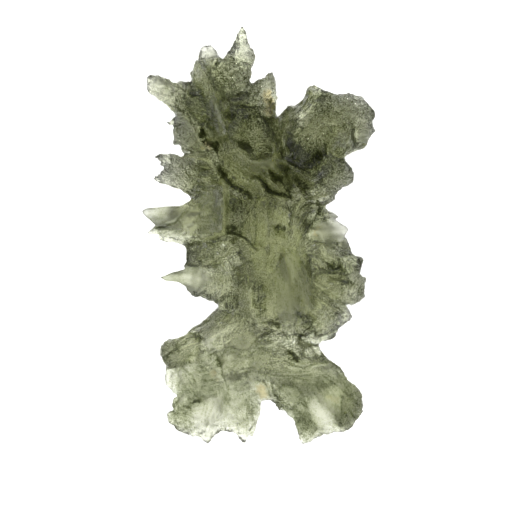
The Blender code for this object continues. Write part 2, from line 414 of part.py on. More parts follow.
def bent(x, y, z):
    """Thins the lower lobes, and makes the blades rise and fall above the ground."""
    z *= 1 - LOWER_THINNING * lower_share(y)
    sway = SWAY * noise.noise(Vector((x, y, 0)) / SWAY_LENGTH)
    return Vector((x, y, z + sway * min(1, max(0, z / MIDDLE_HEIGHT))))


def add_blade(solid, rim, height, thick, crest, keel):
    """Adds one closed sliver: the hull of its rim, its crest and its keel."""
    places = [(x, y, height + side * thick / 2) for side in (-1, 1) for x, y in rim]
    corners = [solid.verts.new(bent(*place) * MM) for place in places + crest + keel]
    hull = bmesh.ops.convex_hull(solid, input=corners)
    inside = [v for v in hull["geom_interior"] if isinstance(v, bmesh.types.BMVert)]
    bmesh.ops.delete(solid, geom=inside, context="VERTS")


def grown_together(name, groups):
    """Joins all slivers into one object and fuses them into one skin."""
    solid = bmesh.new()
    for blades in groups:
        for shape in blades.values():
            add_blade(solid, **shape)
    bmesh.ops.recalc_face_normals(solid, faces=solid.faces)
    mesh = bpy.data.meshes.new(name)
    solid.to_mesh(mesh)
    solid.free()
    stone = bpy.data.objects.new(name, mesh)
    bpy.context.scene.collection.objects.link(stone)
    fuse = stone.modifiers.new("fuse", "REMESH")
    fuse.mode = "VOXEL"
    fuse.voxel_size = GRAIN
    soften = stone.modifiers.new("soften", "CORRECTIVE_SMOOTH")
    soften.smooth_type = "LENGTH_WEIGHTED"
    soften.iterations = 2
    soften.use_only_smooth = True
    return stone


def settle_modifiers(stone):
    """Replaces the object's mesh by what its modifiers make of it."""
    settled = bpy.data.meshes.new_from_object(
        stone.evaluated_get(bpy.context.evaluated_depsgraph_get()))
    stone.modifiers.clear()
    rough, stone.data = stone.data, settled
    bpy.data.meshes.remove(rough)
    settled.name = stone.name


def hollow_depth(places, centre, reach, turn, depth):
    """Depth of one rounded hollow below each place, in mm."""
    angle = math.radians(turn)
    along = (places[:, 0] - centre[0]) * math.cos(angle) + (places[:, 1] - centre[1]) * math.sin(angle)
    across = (places[:, 1] - centre[1]) * math.cos(angle) - (places[:, 0] - centre[0]) * math.sin(angle)
    inside = 1 - (along / reach[0]) ** 2 - (across / reach[1]) ** 2
    return depth * np.clip(inside, 0, 1) ** 0.8


def rib_height(places, line, half_width, height):
    """Height of one sharp-backed rib above each place, in mm."""
    nearest = np.full(len(places), np.inf)
    for start, end in zip(line[:-1], line[1:]):
        start, run = np.array(start), np.array(end) - np.array(start)
        part = np.clip((places[:, :2] - start) @ run / (run @ run), 0, 1)
        gap = places[:, :2] - start - part[:, None] * run
        nearest = np.minimum(nearest, np.hypot(gap[:, 0], gap[:, 1]))
    return height * np.clip(1 - nearest / half_width, 0, 1)


def wander(place):
    """Which way, and how far of 1, the edge of a hollow or a rib strays here."""
    return noise.noise(place), noise.noise(place + Vector((31.4, 0, 0))), 0


def scallop_depth(place, size):
    """0 on the crests between the scallops, about 1 in the middle of each."""
    near, far = noise.voronoi(place / size)[0][:2]
    return min(1.0, 1.6 * (far - near))


def etch(stone):
    """Sinks the hollows, leaves the ribs, and scallops the whole skin."""
    skin = bmesh.new()
    skin.from_mesh(stone.data)
    for vertex in skin.verts:
        vertex.normal_update()
    places = np.array([vertex.co / MM for vertex in skin.verts])
    normals = np.array([vertex.normal for vertex in skin.verts])
    middle = MIDDLE_HEIGHT * (1 - LOWER_THINNING * lower_share(places[:, 1]))
    above = places[:, 2] - middle
    faces_up = np.clip(normals[:, 2] * 1.6, 0, 1) * np.clip(above, 0, 1)
    faces_down = np.clip(-normals[:, 2] * 1.6, 0, 1) * np.clip(-above, 0, 1)
    clear_of_ground = np.clip(places[:, 2], 0, 1)
    spots = places + WANDER * np.array([wander(Vector(place) / WANDER_LENGTH) for place in places])
    upper, lower = np.zeros(len(places)), np.zeros(len(places))
    for centre, reach, turn, depth in UPPER_HOLLOWS:
        upper -= hollow_depth(spots, centre, reach, turn, depth)
    for line, half_width, height in UPPER_RIBS:
        upper += rib_height(spots, line, half_width, height)
    for centre, reach, turn, depth in UNDER_HOLLOWS:
        lower -= hollow_depth(spots, centre, reach, turn, depth)
    for line, half_width, height in UNDER_RIBS:
        lower += rib_height(spots, line, half_width, height)
    etched = places.copy()
    etched[:, 2] += faces_up * upper - faces_down * clear_of_ground * lower
    scallops = np.array([scallop_depth(Vector(place), SCALLOP_SIZE) for place in places])
    body = np.clip(np.abs(above), 0.15, 1) * clear_of_ground
    etched -= normals * (SCALLOP_DEPTH * scallops * body)[:, None]
    for vertex, place in zip(skin.verts, etched):
        vertex.co = Vector(place) * MM
    skin.to_mesh(stone.data)
    skin.free()


def thin_out(stone):
    """Brings the skin down to TRIANGLES flat faces."""
    faces = sum(len(face.vertices) - 2 for face in stone.data.polygons)
    fewer = stone.modifiers.new("thin out", "DECIMATE")
    fewer.ratio = TRIANGLES / faces
    fewer.use_collapse_triangulate = True
    settle_modifiers(stone)


def wear_feet(stone):
    """Cuts the lowest keels flat at the ground, and puts the stone in the middle of its frame."""
    skin = bmesh.new()
    skin.from_mesh(stone.data)
    ys = [v.co.y for v in skin.verts]
    bmesh.ops.scale(skin, vec=[LENGTH / (max(ys) - min(ys))] * 3, verts=skin.verts)
    low = [min(v.co[axis] for v in skin.verts) for axis in range(2)]
    high = [max(v.co[axis] for v in skin.verts) for axis in range(2)]
    cut = bmesh.ops.bisect_plane(
        skin, geom=skin.verts[:] + skin.edges[:] + skin.faces[:], dist=1e-7,
        plane_co=(0, 0, 0), plane_no=(0, 0, 1), clear_inner=True)
    rims = [e for e in cut["geom_cut"] if isinstance(e, bmesh.types.BMEdge)]
    bmesh.ops.edgeloop_fill(skin, edges=rims)
    bmesh.ops.triangulate(skin, faces=skin.faces)
    bmesh.ops.translate(
        skin, vec=(-(low[0] + high[0]) / 2, -(low[1] + high[1]) / 2, 0), verts=skin.verts)
    bmesh.ops.recalc_face_normals(skin, faces=skin.faces)
    if skin.calc_volume(signed=True) < 0:
        bmesh.ops.reverse_faces(skin, faces=skin.faces)
    skin.to_mesh(stone.data)
    skin.free()


clear_scene()
moldavite = grown_together(
    "moldavite", (UPPER_BLADES, MIDDLE_BLADES, LOWER_BLADES, UNDER_BLADES))
settle_modifiers(moldavite)
etch(moldavite)
thin_out(moldavite)
wear_feet(moldavite)
moldavite.data.materials.clear()
moldavite.data.materials.append(green_glass())
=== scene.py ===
import math

import bmesh
import bpy
import numpy as np
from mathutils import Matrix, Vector, noise
from mathutils.bvhtree import BVHTree

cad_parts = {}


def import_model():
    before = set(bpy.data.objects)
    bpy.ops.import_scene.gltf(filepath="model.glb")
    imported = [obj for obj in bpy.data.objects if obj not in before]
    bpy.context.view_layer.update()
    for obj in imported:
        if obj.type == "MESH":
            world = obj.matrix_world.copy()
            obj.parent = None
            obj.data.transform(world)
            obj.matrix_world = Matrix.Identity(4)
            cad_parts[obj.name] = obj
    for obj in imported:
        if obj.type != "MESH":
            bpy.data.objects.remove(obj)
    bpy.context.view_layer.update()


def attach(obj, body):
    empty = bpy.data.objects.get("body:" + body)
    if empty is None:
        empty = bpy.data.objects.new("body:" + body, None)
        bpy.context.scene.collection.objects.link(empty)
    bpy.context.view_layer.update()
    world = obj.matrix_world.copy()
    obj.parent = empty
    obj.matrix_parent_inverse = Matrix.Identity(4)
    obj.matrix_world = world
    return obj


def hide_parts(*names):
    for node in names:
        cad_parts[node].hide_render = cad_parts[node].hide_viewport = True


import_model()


# The stone's upper blades: natural glass that ground water has eaten away to a spray of spikes,
# a hooked shoulder on the left and a wing with a deep bowl on the right. Each blade is a closed
# sliver with a thin rim, a crest above and a keel below. Places are in mm from the middle.
mm = 0.001
middle_height = 3.9
lower_thinning, thin_from, thin_to = 0.3, -5.0, -11.0
sway, sway_length = 1.3, 4.5
rim_growth, rim_share = 0.2, 0.7

upper_blades = {
    "top spike": dict(
        rim=[(-3.0, 14.9), (-2.45, 16.0), (-2.0, 16.9), (-1.55, 17.8), (-1.4, 18.0), (-1.2, 17.6),
             (-0.9, 16.7), (-0.25, 15.7), (-0.4, 14.9), (-0.75, 13.6), (-0.8, 12.8), (-3.2, 12.5)],
        height=4.8, thick=0.35,
        crest=[(-1.7, 15.8, 5.5), (-1.9, 13.0, 6.4)], keel=[(-1.8, 14.2, 3.4), (-1.9, 12.5, 2.4)]),
    "clear lobe": dict(
        rim=[(-5.3, 15.0), (-5.15, 15.6), (-4.95, 16.2), (-4.6, 16.4), (-4.1, 16.4),
             (-3.75, 16.0), (-3.4, 15.4), (-3.1, 15.05), (-3.2, 13.5), (-5.4, 13.5)],
        height=3.6, thick=0.6,
        crest=[(-4.3, 15.3, 4.3), (-4.2, 13.5, 5.5)], keel=[(-4.2, 15.0, 3.0), (-4.2, 13.5, 2.0)]),
    "web between the top spikes": dict(
        rim=[(-5.2, 14.9), (-3.4, 15.15), (-3.05, 15.05), (-2.4, 15.4), (-1.4, 13.0), (-3.0, 11.5),
             (-5.0, 13.0)],
        height=4.2, thick=3.2,
        crest=[(-3.4, 14.2, 6.2), (-2.2, 13.8, 6.3)], keel=[(-3.2, 13.6, 2.0)]),
    "left shoulder, upper": dict(
        rim=[(-5.85, 14.0), (-5.7, 14.7), (-5.35, 15.0), (-4.6, 14.6), (-3.5, 12.0), (-2.6, 8.0),
             (-5.0, 8.0), (-5.8, 13.2)],
        height=4.4, thick=0.5,
        crest=[(-4.5, 13.9, 6.3), (-3.7, 12.0, 7.4), (-3.0, 10.0, 8.1), (-2.6, 8.6, 8.3)],
        keel=[(-4.6, 12.2, 1.8), (-4.0, 9.0, 0.6)]),
    "left shoulder, lower": dict(
        rim=[(-5.6, 13.25), (-6.75, 13.25), (-7.15, 13.0), (-7.0, 10.4), (-5.0, 8.0),
             (-3.4, 11.0)],
        height=4.6, thick=0.5,
        crest=[(-5.4, 12.4, 6.0), (-3.8, 11.0, 7.2)], keel=[(-5.4, 11.6, 2.6)]),
    "horn": dict(
        rim=[(-9.6, 13.5), (-9.35, 13.8), (-8.7, 13.8), (-7.8, 13.4), (-7.2, 13.0), (-4.5, 12.0),
             (-4.5, 9.0), (-7.1, 10.5), (-8.0, 11.3), (-8.8, 11.9), (-9.4, 12.3), (-9.6, 12.6)],
        height=5.2, thick=0.8,
        crest=[(-8.7, 13.1, 6.1), (-6.3, 12.0, 6.5), (-4.6, 10.8, 7.0)],
        keel=[(-7.5, 12.0, 3.8), (-5.5, 10.5, 2.2)]),
    "small thorn": dict(
        rim=[(-7.95, 9.8), (-7.9, 9.65), (-7.4, 9.5), (-6.5, 9.3), (-6.5, 10.4), (-7.4, 10.0)],
        height=3.9, thick=0.35, crest=[(-6.9, 9.8, 4.5)], keel=[(-6.8, 9.8, 3.2)]),
    "left block": dict(
        rim=[(-7.1, 10.4), (-7.3, 9.4), (-7.4, 9.0), (-7.25, 8.6), (-7.35, 7.9), (-6.7, 7.9),
             (-6.6, 7.3), (-6.3, 7.0), (-4.0, 6.5), (-3.0, 9.0), (-4.0, 10.8)],
        height=4.0, thick=0.6,
        crest=[(-5.7, 8.8, 5.7), (-4.0, 8.5, 6.6)], keel=[(-5.5, 9.0, 2.0), (-4.0, 8.0, 0.4)]),
    "pointed blade": dict(
        rim=[(1.2, 14.1), (1.45, 13.2), (1.5, 12.0), (1.45, 10.6), (1.55, 10.0), (1.8, 8.0),
             (-1.5, 8.0), (-1.5, 12.3), (-0.75, 12.9), (0.0, 13.4)],
        height=5.0, thick=0.4,
        crest=[(0.9, 13.0, 5.9), (0.8, 10.8, 6.6)], keel=[(0.6, 12.3, 3.8), (0.4, 9.5, 1.6)]),
    "upper middle": dict(
        rim=[(-3.6, 12.6), (-0.6, 12.9), (1.3, 12.2), (2.2, 8.0), (2.8, 4.5), (2.2, 2.0),
             (-3.4, 2.0), (-4.6, 5.0), (-4.4, 9.0)],
        height=4.0, thick=1.6,
        crest=[(-2.2, 11.6, 6.4), (-0.6, 10.4, 6.6), (-1.0, 5.6, 7.2), (1.2, 5.6, 7.2)],
        keel=[(-2.4, 10.5, 1.2), (0.2, 8.5, 0.2), (-0.8, 4.0, 0.8)]),
    "right wing, inner edge": dict(
        rim=[(3.5, 11.35), (3.95, 12.1), (4.25, 12.75), (4.7, 12.9), (5.2, 12.75), (5.2, 11.0),
             (3.6, 9.2)],
        height=5.4, thick=0.4,
        crest=[(4.6, 12.1, 6.2), (3.9, 10.6, 7.1)], keel=[(4.2, 10.6, 3.6)]),
    "right wing, inner shelf": dict(
        rim=[(2.35, 10.8), (2.5, 11.15), (3.2, 11.15), (3.6, 11.45), (4.4, 10.0), (3.2, 8.4),
             (1.9, 8.8)],
        height=5.3, thick=0.5,
        crest=[(3.4, 10.5, 7.1), (2.6, 9.3, 7.7)], keel=[(3.4, 9.8, 3.4)]),
    "right wing, inner root": dict(
        rim=[(1.6, 10.0), (2.0, 10.4), (2.4, 10.9), (3.4, 9.4), (3.0, 7.6), (1.8, 7.4)],
        height=5.0, thick=0.5,
        crest=[(2.4, 9.4, 7.5), (2.0, 8.2, 7.9)], keel=[(2.4, 8.8, 2.6)]),
    "right wing, top": dict(
        rim=[(4.7, 12.85), (5.7, 12.5), (6.1, 12.3), (6.8, 12.1), (7.6, 12.2), (8.2, 12.1),
             (8.8, 11.9), (9.3, 11.5), (9.7, 11.0), (9.95, 10.5), (9.8, 10.0), (5.5, 8.0),
             (4.0, 10.0)],
        height=4.8, thick=0.5,
        crest=[(7.8, 11.2, 5.9), (6.2, 11.4, 6.1), (6.6, 9.6, 6.7)],
        keel=[(7.4, 10.8, 3.4), (5.8, 9.4, 1.6)]),
    "right wing, side": dict(
        rim=[(9.8, 10.1), (9.75, 9.6), (10.0, 9.1), (10.2, 9.0), (9.85, 8.85), (9.5, 8.4),
             (9.3, 7.85), (9.0, 7.5), (8.5, 7.4), (7.9, 7.1), (7.2, 6.8), (5.0, 6.0),
             (5.0, 10.5), (9.0, 11.3)],
        height=4.3, thick=0.45,
        crest=[(8.3, 9.2, 5.7), (6.8, 8.8, 6.9)],
        keel=[(7.8, 9.0, 2.6), (6.9, 9.0, 0.2), (5.8, 8.2, -0.45)]),
    "right wing, low": dict(
        rim=[(7.2, 6.85), (7.6, 6.35), (8.05, 5.8), (8.3, 5.2), (8.1, 4.6), (7.4, 4.2),
             (6.95, 4.0), (6.75, 3.6), (4.5, 3.4), (3.0, 5.0), (4.0, 8.0), (6.0, 7.6)],
        height=4.1, thick=0.45,
        crest=[(7.0, 5.5, 5.4), (5.6, 5.8, 6.5)], keel=[(6.5, 5.5, 2.6), (5.0, 5.4, 1.0)]),
    "right wing, root": dict(
        rim=[(1.6, 9.6), (4.8, 11.0), (6.6, 8.6), (6.4, 5.8), (4.4, 4.0), (1.8, 4.4)],
        height=3.8, thick=1.4,
        crest=[(2.2, 7.2, 7.3), (3.2, 5.6, 7.4), (4.8, 4.6, 6.8), (4.8, 9.8, 6.2)],
        keel=[(4.6, 8.4, 0.6), (3.2, 6.0, 0.6)]),
}


def lower_share(y):
    """0 in the thick upper part of the stone, 1 in the thin lower lobes."""
    share = np.clip((thin_from - y) / (thin_from - thin_to), 0, 1)
    return share * share * (3 - 2 * share)


def bent(x, y, z):
    """Thins the lower lobes, and makes the blades rise and fall above the ground."""
    z *= 1 - lower_thinning * lower_share(y)
    rise = sway * noise.noise((x / sway_length, y / sway_length, 0))
    return Vector((x, y, z + rise * min(1, max(0, z / middle_height))))


def add_blade(solid, rim, height, thick, crest, keel):
    """Adds one closed sliver, a little wider than its rim, for the outline to be cut from."""
    centre = np.mean(rim, axis=0)
    out = np.array(rim) - centre
    wide = centre + out * (1 + rim_growth / np.linalg.norm(out, axis=1))[:, None]
    places = [(x, y, height + side * thick * rim_share / 2) for side in (-1, 1) for x, y in wide]
    corners = [solid.verts.new(bent(*place) * mm) for place in places + crest + keel]
    hull = bmesh.ops.convex_hull(solid, input=corners)
    inside = [v for v in hull["geom_interior"] if isinstance(v, bmesh.types.BMVert)]
    bmesh.ops.delete(solid, geom=inside, context="VERTS")


blades = bmesh.new()
for shape in upper_blades.values():
    add_blade(blades, **shape)


# The middle blades: pairs of long clear thorns and wedges on the left, a stepped flank on the
# right, and between them the thick back of the stone with its smooth fan.
middle_blades = {
    "left twin thorn, upper": dict(
        rim=[(-8.9, 6.7), (-8.7, 6.95), (-8.3, 7.0), (-7.5, 6.9), (-6.0, 6.95), (-4.0, 7.0),
             (-3.5, 5.2), (-6.5, 4.8), (-8.0, 5.75), (-8.4, 6.15), (-8.65, 6.4)],
        height=5.4, thick=0.4,
        crest=[(-6.8, 6.4, 6.4), (-4.4, 6.2, 7.6)], keel=[(-5.4, 5.8, 3.2)]),
    "left twin thorn, lower": dict(
        rim=[(-9.1, 4.9), (-8.8, 5.25), (-8.3, 5.5), (-7.8, 5.6), (-4.0, 6.2), (-3.5, 3.4),
             (-5.6, 3.2), (-6.2, 3.6), (-6.9, 4.0), (-7.9, 4.4), (-8.6, 4.5)],
        height=4.2, thick=0.4,
        crest=[(-6.8, 4.8, 5.1), (-4.6, 4.8, 7.0)], keel=[(-6.2, 4.4, 3.0), (-4.0, 4.6, 1.2)]),
    "left plate": dict(
        rim=[(-5.7, 3.1), (-4.7, 4.4), (-3.1, 4.7), (-2.8, 4.3), (-2.7, 2.4), (-2.75, 0.2),
             (-4.8, -0.2), (-5.6, 1.4)],
        height=5.2, thick=1.6,
        crest=[(-3.05, 4.3, 7.6), (-2.9, 2.4, 8.1), (-2.95, 0.4, 7.8), (-4.8, 2.2, 7.0)],
        keel=[(-4.4, 1.8, 1.4)]),
    "pale wedge, left": dict(
        rim=[(-10.05, 2.1), (-9.7, 2.35), (-8.8, 2.4), (-8.0, 2.5), (-6.9, 2.5), (-6.1, 2.8),
             (-4.5, 3.0), (-4.5, 0.8), (-8.7, 0.95), (-9.3, 1.3), (-9.85, 1.75)],
        height=5.6, thick=0.35,
        crest=[(-7.4, 1.9, 6.2), (-5.2, 2.2, 7.1)], keel=[(-6.2, 1.8, 4.6), (-5.0, 2.0, 3.0)]),
    "thorn under the pale wedge": dict(
        rim=[(-9.8, 0.15), (-9.7, 0.35), (-9.2, 0.55), (-8.5, 1.0), (-6.0, 1.8), (-4.5, 1.5),
             (-4.5, -0.3), (-7.5, 0.0), (-8.6, 0.15), (-9.2, 0.15)],
        height=4.2, thick=0.4,
        crest=[(-7.8, 0.6, 4.9), (-5.4, 0.8, 6.3)], keel=[(-6.4, 0.6, 2.8)]),
    "left lip": dict(
        rim=[(-8.6, -0.1), (-8.5, -0.4), (-7.0, -0.6), (-6.3, -0.95), (-4.5, -1.2), (-4.0, 0.6),
             (-7.5, 0.3)],
        height=3.2, thick=0.4, crest=[(-6.5, -0.2, 4.0)], keel=[(-5.6, -0.1, 2.0)]),
    "left flank": dict(
        rim=[(-6.3, -0.9), (-6.25, -1.3), (-6.2, -2.3), (-6.5, -2.55), (-6.3, -2.9),
             (-3.5, -3.4), (-2.2, -0.6), (-4.0, 0.5)],
        height=4.0, thick=0.6,
        crest=[(-4.5, -1.4, 5.8), (-2.4, -0.9, 6.9)], keel=[(-4.5, -1.5, 1.4)]),
    "long pale thorn": dict(
        rim=[(-8.5, -3.65), (-8.2, -3.45), (-7.5, -3.2), (-6.4, -2.9), (-4.8, -2.7),
             (-4.6, -4.6), (-6.3, -4.35), (-7.0, -4.05), (-8.0, -3.9), (-8.4, -3.8)],
        height=4.4, thick=0.4,
        crest=[(-6.8, -3.6, 5.0), (-5.0, -3.8, 5.7)], keel=[(-5.6, -3.8, 3.4)]),
    "root of the pale thorn": dict(
        rim=[(-6.3, -4.4), (-6.2, -4.7), (-5.75, -5.2), (-5.0, -5.3), (-3.9, -5.75), (-3.5, -5.9),
             (-2.5, -4.5), (-3.2, -2.5), (-6.1, -2.9)],
        height=4.2, thick=0.4,
        crest=[(-4.6, -3.9, 5.8), (-3.0, -4.2, 6.3)], keel=[(-5.0, -4.3, 3.0), (-3.2, -4.5, 1.8)]),
    "middle": dict(
        rim=[(-3.4, 3.0), (2.8, 4.0), (5.2, 2.0), (5.7, 0.6), (5.2, -3.0), (4.4, -8.0), (1.5, -9.0),
             (-1.8, -8.6), (-3.4, -6.0), (-3.2, -2.0)],
        height=3.8, thick=1.6,
        crest=[(0.3, 3.0, 7.0), (0.5, -1.6, 7.0), (-1.6, -0.5, 6.9), (2.6, -3.0, 6.9),
               (-0.8, -6.5, 6.0), (2.6, -7.0, 6.2)],
        keel=[(0.4, 2.0, 0.6), (1.2, -3.4, 0.0), (0.4, -6.6, 1.0)]),
    "smooth fan": dict(
        rim=[(2.0, -0.8), (3.0, -1.6), (4.2, -3.6), (4.6, -6.0), (4.2, -8.2), (2.6, -8.4),
             (1.2, -7.2), (0.7, -5.0), (0.9, -3.0), (1.6, -1.4)],
        height=5.6, thick=0.8,
        crest=[(2.3, -1.8, 7.4), (2.6, -3.8, 7.6), (2.8, -6.0, 7.0), (2.8, -7.6, 6.4)],
        keel=[(2.6, -4.0, 3.0)]),
    "right thorn, upper": dict(
        rim=[(6.5, 3.4), (6.7, 3.1), (6.0, 2.8), (5.6, 2.5), (3.0, 1.5), (2.5, 4.0),
             (4.5, 4.2), (6.3, 3.6)],
        height=4.9, thick=0.4, crest=[(5.2, 3.2, 6.0), (3.8, 2.8, 7.0)], keel=[(4.6, 3.2, 2.0)]),
    "right thorn, lower": dict(
        rim=[(5.7, 2.5), (6.0, 2.1), (6.3, 2.0), (6.95, 1.65), (6.5, 1.4), (3.5, 0.3),
             (3.0, 2.2), (4.5, 3.0)],
        height=4.0, thick=0.4, crest=[(5.6, 1.9, 4.8), (4.0, 1.8, 5.8)], keel=[(5.0, 1.8, 2.0)]),
    "pale wedge, right": dict(
        rim=[(6.4, 1.4), (7.0, 1.1), (7.5, 0.85), (7.75, 0.5), (7.5, 0.15), (7.35, -0.1),
             (6.0, -0.6), (4.5, 0.1), (4.6, 0.6), (5.5, 1.1)],
        height=5.2, thick=0.4, crest=[(6.3, 0.6, 5.9), (5.0, 0.35, 6.3)], keel=[(5.8, 0.3, 4.4)]),
    "right flank, upper": dict(
        rim=[(7.35, -0.1), (7.65, -0.3), (7.8, -0.8), (8.0, -1.4), (7.9, -3.0), (5.0, -4.0),
             (3.5, -1.0), (4.0, 0.4)],
        height=4.3, thick=0.45,
        crest=[(7.1, -1.4, 5.3), (5.6, -1.5, 6.2)], keel=[(6.8, -1.6, 2.6), (5.2, -1.8, 0.8)]),
    "right flank, lower": dict(
        rim=[(7.9, -1.4), (8.4, -1.7), (8.9, -1.85), (9.05, -2.1), (8.95, -2.5), (8.75, -2.9),
             (8.65, -3.4), (5.0, -4.0), (5.4, -1.6)],
        height=4.0, thick=0.45,
        crest=[(8.0, -2.3, 5.0), (6.2, -2.4, 6.0)], keel=[(7.4, -2.4, 2.6)]),
    "right block": dict(
        rim=[(8.6, -3.3), (9.0, -3.6), (9.25, -3.6), (9.1, -4.2), (9.1, -5.4), (8.7, -5.6),
             (8.3, -5.9), (7.4, -5.9), (5.0, -5.2), (4.5, -3.0), (7.5, -2.8)],
        height=4.0, thick=1.3,
        crest=[(8.4, -4.5, 5.9), (6.4, -4.1, 6.5)], keel=[(8.2, -4.7, 2.2), (6.0, -4.5, 0.2)]),
    "right fin": dict(
        rim=[(7.4, -5.8), (7.7, -6.3), (7.95, -6.7), (8.1, -7.0), (7.8, -7.4), (7.0, -7.9),
             (6.7, -8.4), (6.6, -8.8), (6.0, -9.0), (5.4, -9.1), (3.5, -8.8), (3.5, -5.0),
             (6.0, -4.8)],
        height=4.2, thick=0.4,
        crest=[(6.8, -6.9, 5.5), (5.0, -6.4, 6.2)], keel=[(6.3, -7.2, 3.0), (4.5, -7.0, 1.2)]),
}

for shape in middle_blades.values():
    add_blade(blades, **shape)


# The lower blades: two thin, pale lobes with toothed edges and a notch between them, and the dark
# knob on the left of the waist.
lower_blades = {
    "waist": dict(
        rim=[(-3.5, -5.8), (-3.7, -6.5), (-4.3, -7.0), (-5.0, -7.6), (-5.8, -8.0), (-6.3, -8.6),
             (-5.2, -11.0), (0.0, -11.0), (0.0, -6.0)],
        height=4.0, thick=0.6,
        crest=[(-3.4, -7.6, 5.4), (-1.5, -8.0, 6.0)], keel=[(-3.6, -8.4, 1.8), (-1.5, -8.0, 1.0)]),
    "knob": dict(
        rim=[(-6.3, -8.6), (-7.0, -8.9), (-8.15, -9.2), (-8.4, -9.6), (-8.5, -10.1),
             (-8.2, -11.0), (-7.8, -11.15), (-5.5, -11.2), (-4.5, -9.4), (-5.0, -8.5)],
        height=3.6, thick=1.4,
        crest=[(-7.3, -9.9, 5.4), (-5.6, -9.3, 5.6)],
        keel=[(-7.4, -10.2, 0.6), (-6.4, -10.4, -0.45), (-5.6, -9.8, -0.3), (-4.8, -9.8, 0.9)]),
    "lower middle": dict(
        rim=[(-5.4, -10.6), (-2.0, -8.2), (4.0, -8.6), (5.2, -9.6), (5.6, -11.5), (3.5, -13.2),
             (1.1, -14.1), (0.4, -14.2), (-2.0, -14.0), (-4.5, -13.2)],
        height=3.6, thick=1.0,
        crest=[(-2.6, -10.6, 5.4), (1.0, -10.4, 5.6), (3.8, -10.6, 5.4), (0.3, -12.6, 4.9)],
        keel=[(-2.2, -10.8, 1.4), (2.8, -10.8, 1.2)]),
    "clear plate": dict(
        rim=[(-8.0, -11.1), (-8.1, -12.3), (-8.05, -12.85), (-7.5, -13.4), (-7.1, -13.85),
             (-4.0, -14.0), (-3.0, -11.0), (-5.5, -10.5)],
        height=3.4, thick=0.5, crest=[(-6.2, -12.2, 4.3), (-4.2, -12.2, 4.9)],
        keel=[(-5.8, -12.2, 2.2)]),
    "lump": dict(
        rim=[(-7.1, -13.95), (-7.4, -14.2), (-7.5, -14.6), (-7.4, -15.1), (-5.2, -14.9),
             (-5.2, -13.2), (-6.8, -13.4)],
        height=3.5, thick=0.8, crest=[(-6.3, -14.3, 4.6)], keel=[(-6.2, -14.2, 2.2)]),
    "left foot": dict(
        rim=[(-7.3, -14.95), (-7.95, -15.4), (-7.8, -16.0), (-7.7, -16.4), (-7.3, -16.6),
             (-7.0, -17.0), (-6.6, -17.2), (-6.1, -17.4), (-5.4, -17.3), (-3.0, -16.0),
             (-3.0, -13.5), (-6.0, -14.0)],
        height=2.9, thick=0.5,
        crest=[(-6.2, -15.8, 3.7), (-4.2, -14.8, 4.2)],
        keel=[(-6.4, -16.0, 1.6), (-4.2, -14.8, 1.2)]),
    "tooth, left": dict(
        rim=[(-5.4, -17.3), (-4.9, -17.7), (-4.45, -18.05), (-4.2, -17.8), (-3.9, -17.3),
             (-3.4, -17.0), (-2.2, -15.5), (-2.5, -13.0), (-5.0, -13.5), (-6.0, -16.4)],
        height=3.1, thick=0.4, crest=[(-4.2, -16.2, 3.8), (-3.6, -14.2, 4.4)],
        keel=[(-4.0, -15.4, 2.0)]),
    "tooth, middle": dict(
        rim=[(-3.4, -16.95), (-2.3, -17.0), (-1.9, -17.2), (-1.6, -17.7), (-1.3, -17.9),
             (-1.1, -17.85), (-0.55, -17.35), (-0.35, -16.8), (-0.1, -16.0), (0.1, -15.2),
             (0.2, -14.4), (-1.0, -12.6), (-3.5, -13.0)],
        height=3.0, thick=0.4, crest=[(-1.5, -16.0, 3.7), (-1.6, -14.2, 4.4)],
        keel=[(-1.5, -15.4, 1.9)]),
    "right lobe, upper": dict(
        rim=[(5.25, -9.5), (5.3, -9.9), (6.0, -10.7), (6.9, -11.3), (7.35, -11.7), (7.5, -12.2),
             (7.9, -12.7), (6.0, -14.5), (2.0, -13.8), (1.2, -12.0), (2.0, -9.6), (3.5, -8.8)],
        height=3.7, thick=0.5,
        crest=[(5.0, -11.2, 5.4), (3.0, -11.2, 5.7)], keel=[(5.2, -11.6, 1.6), (3.0, -11.2, 1.0)]),
    "right lobe, side": dict(
        rim=[(7.5, -12.2), (8.0, -12.7), (8.4, -12.9), (8.6, -13.3), (9.0, -13.8), (8.9, -14.4),
             (9.05, -15.0), (9.0, -15.3), (8.5, -15.9), (8.2, -16.4), (8.0, -16.7), (7.4, -17.0),
             (5.6, -15.4), (5.2, -12.6)],
        height=3.5, thick=0.6,
        crest=[(7.8, -14.6, 4.7), (6.6, -13.8, 5.0)],
        keel=[(8.0, -14.9, 0.7), (7.0, -14.2, -0.45), (6.2, -13.6, -0.2), (5.2, -13.2, 0.8)]),
    "right lobe, tooth": dict(
        rim=[(7.4, -17.0), (6.7, -17.0), (6.1, -17.2), (5.5, -17.3), (5.0, -17.5), (4.3, -17.9),
             (3.8, -18.05), (3.6, -17.8), (3.4, -16.9), (3.2, -16.2), (2.8, -15.6), (3.0, -13.0),
             (7.0, -13.4), (8.0, -16.6)],
        height=3.1, thick=0.45,
        crest=[(5.4, -15.3, 4.5), (4.2, -16.6, 3.9)], keel=[(5.2, -15.3, 1.8)]),
    "notch side": dict(
        rim=[(2.85, -15.65), (2.3, -15.2), (1.8, -15.0), (1.4, -14.5), (1.1, -14.2), (1.0, -12.5),
             (4.0, -12.5), (4.0, -15.5)],
        height=3.3, thick=0.5, crest=[(2.8, -13.6, 4.7)], keel=[(2.8, -13.8, 2.0)]),
}

for shape in lower_blades.values():
    add_blade(blades, **shape)


